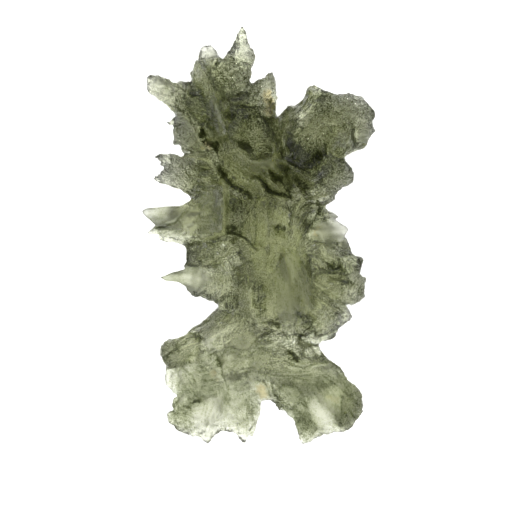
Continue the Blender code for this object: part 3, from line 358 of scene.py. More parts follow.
# The back fins: slivers of the same glass that turn down from the middle and grow out of it. The
# stone lies on their worn keels.
back_blades = {
    "back fin, upper": dict(
        rim=[(-5.6, 12.6), (-4.6, 13.2), (-1.2, 6.4), (-0.8, 5.0), (-1.8, 5.0)],
        height=3.0, thick=1.2, crest=[(-2.6, 8.5, 4.0)],
        keel=[(-4.9, 12.3, 0.2), (-4.3, 11.2, -0.45), (-3.4, 9.4, -0.3)]),
    "back fin, right": dict(
        rim=[(2.0, 8.6), (6.6, 10.6), (7.4, 9.8), (3.0, 7.0)],
        height=3.0, thick=1.2, crest=[(4.6, 9.0, 4.0)], keel=[(6.4, 9.9, 0.6), (3.8, 8.4, 0.8)]),
    "back rib": dict(
        rim=[(0.6, 5.4), (1.8, 5.0), (2.4, -4.6), (1.2, -7.4), (0.2, -5.0)],
        height=2.6, thick=1.0, crest=[(1.2, 0.0, 4.0)],
        keel=[(1.2, 3.4, 0.4), (1.4, 0.8, -0.4), (1.5, -2.6, -0.3)]),
    "back fin, left": dict(
        rim=[(-7.4, 2.8), (-6.8, 1.2), (-1.0, 0.2), (-1.4, 2.4)],
        height=3.4, thick=0.9, crest=[(-4.0, 1.6, 4.4)], keel=[(-6.0, 2.0, 1.2), (-3.4, 1.6, 0.6)]),
    "back fin, lower right": dict(
        rim=[(2.2, -6.0), (7.0, -5.6), (7.8, -4.6), (3.0, -4.6)],
        height=3.2, thick=0.9, crest=[(5.0, -5.2, 4.0)], keel=[(6.6, -5.0, 0.9), (4.4, -5.2, 0.6)]),
    "back rib, lower": dict(
        rim=[(-2.6, -8.6), (-1.4, -8.6), (4.6, -12.6), (4.2, -13.6), (2.2, -12.6)],
        height=2.6, thick=0.8,
        crest=[(1.0, -10.8, 3.8)], keel=[(3.4, -12.6, 1.0), (0.6, -10.6, 0.8)]),
}

for shape in back_blades.values():
    add_blade(blades, **shape)


# The stone's edge, clockwise from the top spike: the teeth, the thorns and the notches between
# them. The slivers are fused into one skin of glass, and this line cuts their rims.
edge_line = [
    (-1.4, 18), (-1.2, 17.6), (-0.9, 16.6), (-0.25, 15.7), (-0.3, 15.2), (-0.5, 14.8), (-0.7, 13.9),
    (-0.8, 13), (-0.75, 12.9), (0, 13.4), (1.2, 14.1), (1.45, 13.2), (1.5, 12), (1.45, 10.6),
    (1.55, 10), (2, 10.4), (2.4, 10.9), (2.5, 11.15), (3.2, 11.15), (3.6, 11.5), (3.9, 12),
    (4.3, 12.8), (4.7, 12.9), (5.2, 12.75), (5.7, 12.5), (6.1, 12.3), (6.8, 12.1), (7.6, 12.2),
    (8.2, 12.1), (8.8, 11.9), (9.3, 11.5), (9.7, 11), (9.95, 10.5), (9.8, 10.1), (9.8, 9.6),
    (10, 9.1), (10.2, 9), (9.9, 8.9), (9.5, 8.4), (9.3, 7.8), (9, 7.5), (8.5, 7.4), (7.9, 7.1),
    (7.3, 6.8), (7.6, 6.3), (8.1, 5.8), (8.3, 5.2), (8.1, 4.6), (7.4, 4.2), (6.95, 4), (6.75, 3.6),
    (6.5, 3.4), (6.7, 3.1), (6, 2.8), (5.7, 2.5), (6, 2.1), (6.3, 2), (6.95, 1.65), (6.5, 1.4),
    (7, 1.1), (7.5, 0.8), (7.75, 0.5), (7.5, 0.15), (7.4, -0.1), (7.65, -0.3), (7.8, -0.8),
    (8, -1.4), (8.4, -1.7), (8.9, -1.9), (9.05, -2.1), (8.95, -2.5), (8.8, -2.9), (8.7, -3.4),
    (9, -3.6), (9.25, -3.65), (9.1, -4.2), (9.1, -5.4), (8.7, -5.6), (8.3, -5.9), (7.4, -5.9),
    (7.7, -6.3), (7.95, -6.7), (8.1, -7), (7.8, -7.4), (7, -7.9), (6.7, -8.4), (6.6, -8.8), (6, -9),
    (5.4, -9.1), (5.2, -9.4), (5.3, -9.9), (5.7, -10.3), (6, -10.7), (6.5, -11), (6.9, -11.3),
    (7.3, -11.7), (7.5, -12.2), (8, -12.7), (8.4, -12.9), (8.6, -13.3), (9, -13.8), (8.9, -14.4),
    (9.05, -15), (9, -15.3), (8.5, -15.9), (8.2, -16.4), (8, -16.7), (7.4, -17), (6.7, -17),
    (6.1, -17.2), (5.5, -17.3), (5, -17.5), (4.3, -17.9), (3.8, -18.05), (3.6, -17.8), (3.4, -16.9),
    (3.2, -16.2), (2.8, -15.6), (2.3, -15.2), (1.8, -15), (1.4, -14.5), (1.1, -14.2), (0.4, -14.25),
    (0.2, -14.4), (0.15, -15), (-0.1, -16), (-0.35, -16.8), (-0.5, -17.3), (-0.65, -17.4),
    (-0.9, -17.2), (-1, -17.5), (-1.1, -17.85), (-1.3, -17.9), (-1.6, -17.7), (-1.9, -17.2),
    (-2.3, -17), (-3, -16.9), (-3.4, -17), (-3.9, -17.3), (-4.2, -17.8), (-4.45, -18.05),
    (-4.9, -17.7), (-5.4, -17.3), (-6.1, -17.4), (-6.6, -17.2), (-7, -17), (-7.3, -16.6),
    (-7.7, -16.4), (-7.8, -16), (-7.95, -15.4), (-7.4, -15.1), (-7.5, -14.6), (-7.4, -14.2),
    (-7.1, -14), (-7.05, -13.85), (-7.5, -13.4), (-7.95, -13), (-8.05, -12.85), (-8.1, -12.3),
    (-8, -11.2), (-8.2, -11), (-8.5, -10.1), (-8.4, -9.6), (-8.15, -9.2), (-7, -8.9), (-6.3, -8.6),
    (-5.8, -8), (-5, -7.6), (-4.3, -7), (-3.7, -6.4), (-3.5, -6), (-3.8, -5.75), (-5, -5.3),
    (-5.75, -5.2), (-5.8, -5), (-6.2, -4.7), (-6.25, -4.4), (-6.6, -4.2), (-7, -4), (-8, -3.9),
    (-8.5, -3.6), (-8.2, -3.5), (-7.5, -3.2), (-6.3, -2.9), (-6.5, -2.6), (-6.2, -2.3),
    (-6.2, -1.3), (-6.3, -0.95), (-7, -0.6), (-8.5, -0.4), (-8.6, -0.1), (-8.5, 0.1), (-9.2, 0.1),
    (-9.8, 0.2), (-9.2, 0.55), (-8.9, 0.9), (-9.3, 1.3), (-9.85, 1.75), (-10.05, 2.1), (-9.7, 2.35),
    (-8.8, 2.4), (-8, 2.5), (-7, 2.5), (-6.3, 2.7), (-5.85, 3), (-5.75, 3.2), (-6.2, 3.6),
    (-6.8, 4), (-7.2, 4.1), (-7.9, 4.4), (-8.5, 4.5), (-9.1, 4.9), (-8.8, 5.2), (-8.4, 5.5),
    (-8, 5.7), (-8.4, 6.1), (-8.6, 6.4), (-8.9, 6.7), (-8.7, 6.9), (-8.3, 7), (-7.5, 6.9),
    (-6.8, 6.8), (-5.9, 6.9), (-6.4, 7.05), (-6.6, 7.3), (-6.7, 7.9), (-7.35, 7.85), (-7.25, 8.6),
    (-7.4, 9), (-7.3, 9.4), (-7.95, 9.75), (-7.4, 10), (-7.1, 10.4), (-7.5, 10.9), (-8, 11.3),
    (-8.6, 11.8), (-9.4, 12.3), (-9.6, 12.6), (-9.6, 13.6), (-9.3, 13.8), (-8.7, 13.8),
    (-7.8, 13.4), (-7.2, 13.05), (-6.8, 13.25), (-5.7, 13.25), (-5.85, 14), (-5.6, 14.3),
    (-5.5, 14.9), (-5.3, 15.1), (-5.15, 15.6), (-4.95, 16.2), (-4.6, 16.4), (-4.1, 16.4),
    (-3.7, 16), (-3.35, 15.4), (-3.05, 15.1), (-2.45, 16), (-2, 16.9),
]
first_grain, fine_grain = 0.15, 0.105


def linked(name, shape):
    """Turns a finished bmesh into an object in the scene."""
    bmesh.ops.recalc_face_normals(shape, faces=shape.faces)
    mesh = bpy.data.meshes.new(name)
    shape.to_mesh(mesh)
    shape.free()
    piece = bpy.data.objects.new(name, mesh)
    bpy.context.scene.collection.objects.link(piece)
    return piece


def grown(piece, grain, rounds):
    """Fuses what overlaps into one even skin of the given cell, in mm, and softens its steps."""
    fuse = piece.modifiers.new("fuse", "REMESH")
    fuse.mode = "VOXEL"
    fuse.voxel_size = grain * mm
    soften = piece.modifiers.new("soften", "CORRECTIVE_SMOOTH")
    soften.smooth_type = "LENGTH_WEIGHTED"
    soften.iterations = rounds
    soften.use_only_smooth = True


def settle(piece):
    """Replaces the piece's mesh by what its modifiers make of it."""
    ready = bpy.context.evaluated_depsgraph_get()
    settled = bpy.data.meshes.new_from_object(piece.evaluated_get(ready))
    piece.modifiers.clear()
    rough, piece.data = piece.data, settled
    bpy.data.meshes.remove(rough)
    settled.name = piece.name


stone = linked("etched_stone", blades)
grown(stone, first_grain, 1)
cutter = bmesh.new()
bottom = cutter.faces.new([cutter.verts.new((x * mm, y * mm, -2 * mm)) for x, y in edge_line])
walls = bmesh.ops.extrude_face_region(cutter, geom=[bottom])
tops = [v for v in walls["geom"] if isinstance(v, bmesh.types.BMVert)]
bmesh.ops.translate(cutter, vec=(0, 0, 14 * mm), verts=tops)
cutter = linked("edge_cutter", cutter)
cut = stone.modifiers.new("cut to the edge", "BOOLEAN")
cut.operation = "INTERSECT"
cut.solver = "MANIFOLD"
cut.object = cutter
settle(stone)
bpy.data.objects.remove(cutter, do_unlink=True)


# The hollows and ribs: acid ground water has sunk pits, slots and a bowl into the stone, and has
# left sharp-backed ribs standing between them. Middle, half length and width, turn, depth.
upper_hollows = [
    ((-0.2, 8.6), (2.1, 1.6), 75, 1.5),  # the pit inside the hook, open to the top
    ((-0.6, 10.4), (1.6, 1.7), 90, 0.7),
    ((-1.2, 7.75), (0.85, 0.45), -32, 0.9),
    ((0.8, 9.8), (0.9, 0.5), -50, 0.4),
    ((-2.5, 10.2), (0.6, 0.5), 0, 0.4),
    ((-2.4, 13.8), (1.7, 1.2), 0, 0.6),  # the web between the top spikes
    ((-5.0, 8.8), (0.45, 0.38), 75, 0.8),
    ((-4.0, 7.7), (0.9, 0.45), -25, 0.9),
    ((-3.2, 5.5), (0.8, 0.5), -30, 0.7),
    ((4.0, 7.0), (2.4, 1.8), 70, 1.3),  # the bowl in the right wing
    ((2.7, 8.0), (0.9, 0.6), 80, 0.4),
    ((5.0, 6.4), (1.0, 0.7), 80, 0.5),
    ((8.2, 9.0), (1.3, 0.4), 88, 0.45),
    ((5.9, 11.5), (1.0, 0.5), -50, 0.4),
    ((1.5, 4.9), (1.2, 0.36), -42, 2.0),  # the slots on either side of the rod
    ((2.6, 3.8), (0.8, 0.3), -68, 1.2),
    ((3.8, 4.4), (0.95, 0.38), -45, 1.3),
    ((-1.7, 1.4), (1.7, 1.15), 75, 1.2),  # the hollow right of the left plate
    ((1.7, 0.4), (0.7, 0.45), 0, 0.5),
    ((6.4, -2.5), (0.7, 0.4), 60, 0.4),
    ((5.3, 2.2), (0.8, 0.4), 60, 0.4),
    ((0.1, -5.4), (1.8, 0.8), 88, 0.5),
    ((-2.4, -6.0), (1.1, 0.7), 60, 0.35),
    ((-1.4, -4.2), (1.0, 0.8), 50, 0.35),
    ((1.3, -7.7), (0.8, 0.4), -15, 0.6),
    ((4.0, -7.2), (1.2, 0.55), -55, 0.6),
    ((3.0, -10.3), (0.6, 0.36), -45, 0.5),
    ((5.6, -10.6), (0.7, 0.4), -30, 0.35),
    ((-5.4, -8.8), (0.7, 0.4), -15, 0.45),
    ((-3.4, -10.9), (0.6, 0.45), 70, 0.35),
    ((-5.4, -14.3), (0.7, 0.45), 10, 0.35),
    ((3.8, -14.9), (1.0, 0.4), -40, 0.35),
]

back_hollows = [
    ((0.9, 12.2), (1.7, 1.1), 70, 1.6),
    ((-2.0, 11.6), (1.6, 0.9), 60, 1.4),
    ((-6.0, 7.2), (1.4, 0.7), 20, 1.2),
    ((3.8, 11.0), (1.5, 0.7), 45, 1.2),
    ((4.4, 6.2), (1.8, 0.9), -30, 1.6),
    ((-2.2, 4.2), (1.9, 0.9), 75, 1.7),
    ((4.0, 1.8), (2.0, 1.0), 70, 1.7),
    ((-1.6, -2.6), (2.0, 1.1), 80, 1.8),
    ((4.2, -2.4), (1.3, 0.8), 40, 1.4),
    ((-4.6, -5.2), (1.6, 0.6), 30, 1.0),
    ((4.6, -8.8), (1.5, 0.8), 20, 1.2),
    ((-1.2, -12.4), (1.9, 0.9), 10, 0.6),
]

# Ribs: line, width on its left and on its right, height.
upper_ribs = [
    # the hook: down the left, round under the pit, and up the right side
    ([(-4.6, 14.3), (-4.0, 13.2), (-3.5, 12.0), (-3.0, 10.6), (-2.6, 9.4), (-2.2, 8.2),
      (-1.7, 7.2), (-0.6, 6.4), (0.7, 6.2), (1.5, 6.9), (1.8, 8.2), (1.7, 9.6)], 0.6, 1.5, 1.1),
    ([(-6.4, 10.3), (-5.6, 9.4), (-5.3, 8.6), (-4.8, 7.6)], 0.4, 0.9, 0.7),
    ([(1.8, 9.6), (2.9, 10.2), (4.0, 11.2), (4.5, 12.3)], 1.0, 0.5, 0.5),
    ([(1.9, 6.5), (2.9, 5.7), (3.9, 5.1), (4.7, 4.4), (5.6, 3.9)], 0.35, 0.8, 0.8),
    ([(0.6, 5.4), (1.1, 4.6), (1.8, 4.0)], 0.4, 0.5, 0.8),
    ([(2.6, 5.2), (3.2, 4.2), (4.0, 3.2)], 0.5, 0.5, 0.7),
    ([(0.0, 4.6), (0.4, 3.4), (0.6, 1.6), (0.5, 0.0), (0.5, -1.6)], 0.8, 1.2, 0.7),
    ([(-3.0, 4.6), (-2.8, 3.6), (-2.8, 1.8), (-2.9, 0.3)], 0.25, 1.2, 0.6),
    ([(0.0, -1.1), (-0.9, -0.8), (-1.7, -0.4), (-2.8, -1.6), (-3.8, -2.0), (-4.6, -2.5)],
     1.2, 0.35, 0.7),
    ([(2.8, 0.4), (3.0, 1.4), (3.5, 2.3), (4.2, 2.9), (5.4, 3.2), (6.3, 3.2)], 0.35, 1.1, 0.7),
    ([(5.4, -0.4), (6.0, -1.6), (7.4, -2.6), (8.4, -3.2)], 1.0, 0.4, 0.5),
    ([(1.6, -1.0), (2.4, -2.6), (2.6, -5.0)], 1.2, 1.2, 0.4),
    ([(5.0, -4.2), (6.4, -4.8), (7.4, -6.2), (7.9, -6.9)], 0.9, 0.4, 0.5),
    ([(-2.6, -3.4), (-3.0, -5.2), (-1.8, -7.4), (-3.8, -8.4), (-5.0, -9.2), (-6.2, -10.2)],
     0.5, 1.1, 0.5),
    ([(-0.9, -3.0), (-0.9, -5.4), (0.2, -8.2), (-1.2, -9.6)], 0.4, 1.0, 0.4),
    ([(4.0, -5.8), (5.4, -7.6), (4.6, -9.4)], 1.0, 0.35, 0.5),
    ([(0.6, -9.4), (2.2, -9.0), (3.6, -9.3), (4.2, -9.9)], 0.9, 0.3, 0.45),
    ([(-2.8, -12.4), (-2.9, -14.2), (-2.4, -15.6)], 0.8, 0.4, 0.4),
    ([(1.2, -10.9), (3.0, -11.0), (4.6, -11.3), (6.0, -11.2)], 0.3, 1.0, 0.4),
    ([(1.8, -12.0), (3.2, -12.1), (4.6, -12.0)], 0.25, 0.9, 0.3),
    ([(2.6, -13.2), (4.4, -14.0), (5.2, -15.6), (5.0, -17.0)], 0.8, 0.4, 0.3),
    ([(-0.8, -14.6), (-0.6, -12.8), (-0.2, -11.2)], 0.5, 0.9, 0.3),
    ([(-6.4, -11.2), (-5.2, -12.6), (-5.6, -13.8)], 0.9, 0.3, 0.35),
    ([(-4.6, -14.2), (-4.2, -15.6), (-4.4, -17.2)], 0.4, 0.8, 0.3),
]

back_ribs = [
    ([(-5.4, 12.8), (-3.6, 9.8), (-1.6, 6.6), (0.6, 4.2), (1.4, 0.6), (1.4, -4.0)], 0.5, 1.2, 0.5),
    ([(1.0, 6.0), (3.8, 8.4), (7.0, 10.2)], 0.4, 1.1, 0.5),
    ([(-1.0, 1.4), (-4.0, 1.7), (-7.0, 2.0)], 1.1, 0.4, 0.5),
    ([(1.6, -4.4), (4.6, -5.2), (7.4, -5.0)], 0.4, 1.1, 0.4),
    ([(1.2, -6.0), (-1.8, -8.4), (-5.6, -9.6), (-7.4, -10.2)], 1.1, 0.4, 0.5),
    ([(-1.8, -8.6), (1.6, -11.2), (4.4, -13.0), (7.4, -14.8)], 0.4, 1.1, 0.5),
]
wander, wander_length = 0.22, 0.9


def turned(places, centre, turn):
    """How far places lie from a centre, along and across a direction given in degrees."""
    angle = math.radians(turn)
    right, up = places[:, 0] - centre[0], places[:, 1] - centre[1]
    along = right * math.cos(angle) + up * math.sin(angle)
    return along, up * math.cos(angle) - right * math.sin(angle)


def spot(places, centre, reach, turn):
    """1 in the middle of an oval spot and 0 from its edge outwards."""
    along, across = turned(places, centre, turn)
    return np.clip(1 - (along / reach[0]) ** 2 - (across / reach[1]) ** 2, 0, 1)


def facet_spot(places, centre, reach, turn):
    """Like an oval spot, but with straight sides and flat slopes, as a splinter leaves."""
    along, across = turned(places, centre, turn)
    far = np.zeros(len(places))
    for side in range(7):
        bearing = 2 * math.pi * (side + 0.3 * math.sin(5 * side + centre[0])) / 7
        far = np.maximum(
            far, along / reach[0] * math.cos(bearing) + across / reach[1] * math.sin(bearing))
    return np.clip(1 - far, 0, 1)


def ridge(places, line, left, right):
    """1 on a line, falling to 0 at one width on its left and at another on its right."""
    nearest, wide = np.full(len(places), np.inf), np.ones(len(places))
    for start, end in zip(line[:-1], line[1:]):
        start, run = np.array(start), np.array(end) - np.array(start)
        part = np.clip((places[:, :2] - start) @ run / (run @ run), 0, 1)
        gap = places[:, :2] - start - part[:, None] * run
        away = np.hypot(gap[:, 0], gap[:, 1])
        on_left = run[0] * gap[:, 1] - run[1] * gap[:, 0] > 0
        wide = np.where(away < nearest, np.where(on_left, left, right), wide)
        nearest = np.minimum(nearest, away)
    return np.clip(1 - nearest / wide, 0, 1)


def noisy(places, length, start=(0, 0, 0)):
    """Smooth noise, -1 to 1, with lumps of the given length in mm."""
    spots = places / length + np.array(start)
    return np.array([noise.noise(place) for place in spots.tolist()])


def skin_of(piece):
    """The skin's bmesh, and its places and outward directions in mm."""
    skin = bmesh.new()
    skin.from_mesh(piece.data)
    for vertex in skin.verts:
        vertex.normal_update()
    places = np.array([vertex.co / mm for vertex in skin.verts])
    return skin, places, np.array([vertex.normal for vertex in skin.verts])


def put_back(piece, skin, places):
    for vertex, place in zip(skin.verts, (places * mm).tolist()):
        vertex.co = place
    skin.to_mesh(piece.data)
    skin.free()


def facing(places, normals):
    """How far each place belongs to the upper face and to the back, and stays off the ground."""
    above = places[:, 2] - middle_height * (1 - lower_thinning * lower_share(places[:, 1]))
    up = np.clip(normals[:, 2] * 1.6, 0, 1) * np.clip(above, 0, 1)
    down = np.clip(-normals[:, 2] * 1.6, 0, 1) * np.clip(-above, 0, 1)
    return above, up, down, np.clip(places[:, 2], 0, 1)


skin, places, normals = skin_of(stone)
above, up, down, off_ground = facing(places, normals)
strayed = places.copy()
strayed[:, 0] += wander * noisy(places, wander_length)
strayed[:, 1] += wander * noisy(places, wander_length, (31.4, 0, 0))
uneven = 1 + 0.35 * noisy(places, 1.1, (2, 6, 1))
upper, lower = np.zeros(len(places)), np.zeros(len(places))
for centre, reach, turn, depth in upper_hollows:
    upper -= depth * np.minimum(1.7 * facet_spot(strayed, centre, reach, turn), 1) * uneven
for line, left, right, height in upper_ribs:
    upper += height * ridge(strayed, line, left, right)
for centre, reach, turn, depth in back_hollows:
    lower -= depth * np.sqrt(spot(strayed, centre, reach, turn)) ** 1.5 * uneven
for line, left, right, height in back_ribs:
    lower += height * ridge(strayed, line, left, right)
places[:, 2] += up * upper - down * off_ground * lower
put_back(stone, skin, places)
grown(stone, fine_grain, 1)
settle(stone)


# The etched skin: shallow scallops, small flat-sided pits, flow wrinkles along each blade and
# finer crinkles, all eaten into the glass. The ribs and the fan stay smoother, a few thorns are
# nearly still, and a few places are coarse: middle, half length and width, turn, strength.
coarse_places = [
    ((-2.0, 13.6), (2.6, 1.6), 0, 1.0),
    ((0.4, 12.0), (1.4, 2.2), -10, 0.8),
    ((-0.3, 8.6), (1.8, 1.8), 0, 1.0),
    ((-7.2, 11.6), (2.2, 1.0), -40, 0.8),
    ((-6.2, 8.4), (1.4, 1.6), 0, 0.7),
    ((7.4, 10.6), (3.2, 2.2), 0, 1.0),
    ((4.6, 8.6), (1.6, 1.4), 0, 1.0),
    ((6.8, 4.8), (1.8, 1.3), 0, 0.9),
    ((8.4, -4.6), (1.3, 1.6), 0, 1.2),
    ((-7.2, 5.6), (2.2, 1.8), 0, 0.6),
    ((-1.0, 1.6), (1.6, 2.0), 0, 0.6),
    ((-4.6, -3.4), (2.0, 1.2), 0, 0.5),
    ((-7.2, -10.0), (1.6, 1.4), 0, 0.9),
    ((2.0, -14.6), (1.4, 1.2), -45, 0.8),
    ((-5.0, -16.2), (2.4, 1.4), 0, 0.5),
    ((8.2, -14.6), (1.2, 2.6), 0, 0.6),
]
calm_places = [
    ((2.8, -4.4), (2.2, 4.4), 0, 0.8),
    ((-4.2, 1.8), (1.6, 2.6), 0, 0.6),
    ((0.8, 6.0), (2.0, 0.8), 0, 0.8),
    ((-3.6, 10.8), (1.2, 3.6), 15, 0.35),
    ((-1.0, -10.0), (4.0, 2.6), 0, 0.4),
    ((5.0, -13.6), (4.6, 4.2), 0, 0.6),
    ((-4.6, -13.0), (4.2, 4.4), 0, 0.6),
    ((-8.4, 1.6), (2.6, 1.6), 0, 0.8),
    ((-6.6, -3.7), (2.8, 1.4), 0, 0.8),
    ((6.4, 0.5), (2.0, 1.3), 0, 0.8),
]
still_places = [
    ((-8.6, 1.7), (3.0, 1.6), 0, 1.0),
    ((-6.8, -3.7), (3.2, 1.6), 0, 0.9),
    ((6.4, 0.5), (2.2, 1.4), 0, 0.8),
    ((-4.3, 16.0), (1.5, 1.2), 0, 0.25),
    ((-9.0, 13.3), (1.6, 1.0), -30, 0.35),
    ((1.1, 13.6), (0.7, 1.2), 0, 0.7),
]
# Lines on the upper face: points, half width, and height of a crest or depth of a crease.
crests = [
    ([(-5.4, 14.6), (-5.0, 13.4), (-4.4, 12.2)], 0.3, 0.1),
    ([(-4.5, 14.3), (-4.2, 13.4), (-3.8, 12.6), (-3.5, 11.6)], 0.16, 0.2),
    ([(2.15, 6.4), (2.8, 5.75), (3.4, 5.3), (4.2, 4.85), (4.7, 4.5)], 0.15, 0.2),
    ([(0.5, 5.45), (0.7, 4.9), (1.1, 4.3), (1.6, 3.95)], 0.22, 0.25),
    ([(-3.0, 4.7), (-2.9, 4.0), (-2.9, 2.6), (-2.95, 1.4), (-3.0, 0.4)], 0.15, 0.2),
    ([(-2.4, 3.9), (-1.9, 3.4), (-1.2, 3.1)], 0.14, 0.2),
    ([(-1.6, -0.35), (-2.2, -0.8), (-2.8, -1.5), (-3.0, -1.7)], 0.16, 0.25),
    ([(-3.9, -2.05), (-4.3, -2.2), (-4.7, -2.5)], 0.14, 0.2),
    ([(-1.6, -0.35), (-1.0, -0.8), (-0.4, -1.1)], 0.14, 0.15),
    ([(2.9, 0.6), (3.0, 1.3), (3.3, 2.0), (3.8, 2.7), (4.5, 3.1), (5.1, 3.2), (6.2, 3.5)],
     0.16, 0.25),
    ([(3.3, -14.7), (3.9, -15.0), (4.3, -15.4)], 0.12, 0.15),
    ([(-5.7, 9.6), (-5.5, 9.0), (-5.2, 8.2), (-4.9, 7.5)], 0.16, 0.2),
    ([(-7.0, 10.9), (-6.5, 10.4), (-6.0, 10.0)], 0.1, 0.15),
    ([(2.2, 9.4), (3.2, 10.2), (4.2, 11.4), (4.5, 12.4)], 0.2, 0.12),
    ([(2.6, 9.2), (3.8, 10.2), (4.8, 11.4)], 0.16, 0.12),
    ([(-0.65, 2.0), (-0.6, 1.4)], 0.14, 0.15),
    ([(-5.8, -2.9), (-5.0, -2.85), (-4.4, -3.1)], 0.2, 0.15),
    ([(-2.7, -2.3), (-2.9, -3.6), (-2.9, -5.2)], 0.16, 0.15),
    ([(-6.6, 4.9), (-6.0, 4.3), (-5.4, 3.6)], 0.12, 0.15),
    ([(-7.9, 5.5), (-7.2, 5.0), (-6.6, 4.4)], 0.14, 0.15),
    ([(0.0, -12.9), (0.5, -13.4), (0.8, -13.9)], 0.25, 0.12),
    ([(3.0, -1.0), (2.9, -2.2), (2.7, -4.0)], 0.3, 0.1),
    ([(1.6, -1.2), (2.3, -1.8), (2.8, -3.0)], 0.2, 0.1),
    ([(5.2, -4.2), (5.9, -4.8), (6.6, -5.6)], 0.14, 0.12),
    ([(6.0, -6.2), (7.0, -6.8)], 0.12, 0.1),
    ([(-2.0, 8.2), (-1.6, 8.4), (-1.3, 8.5)], 0.12, 0.15),
]
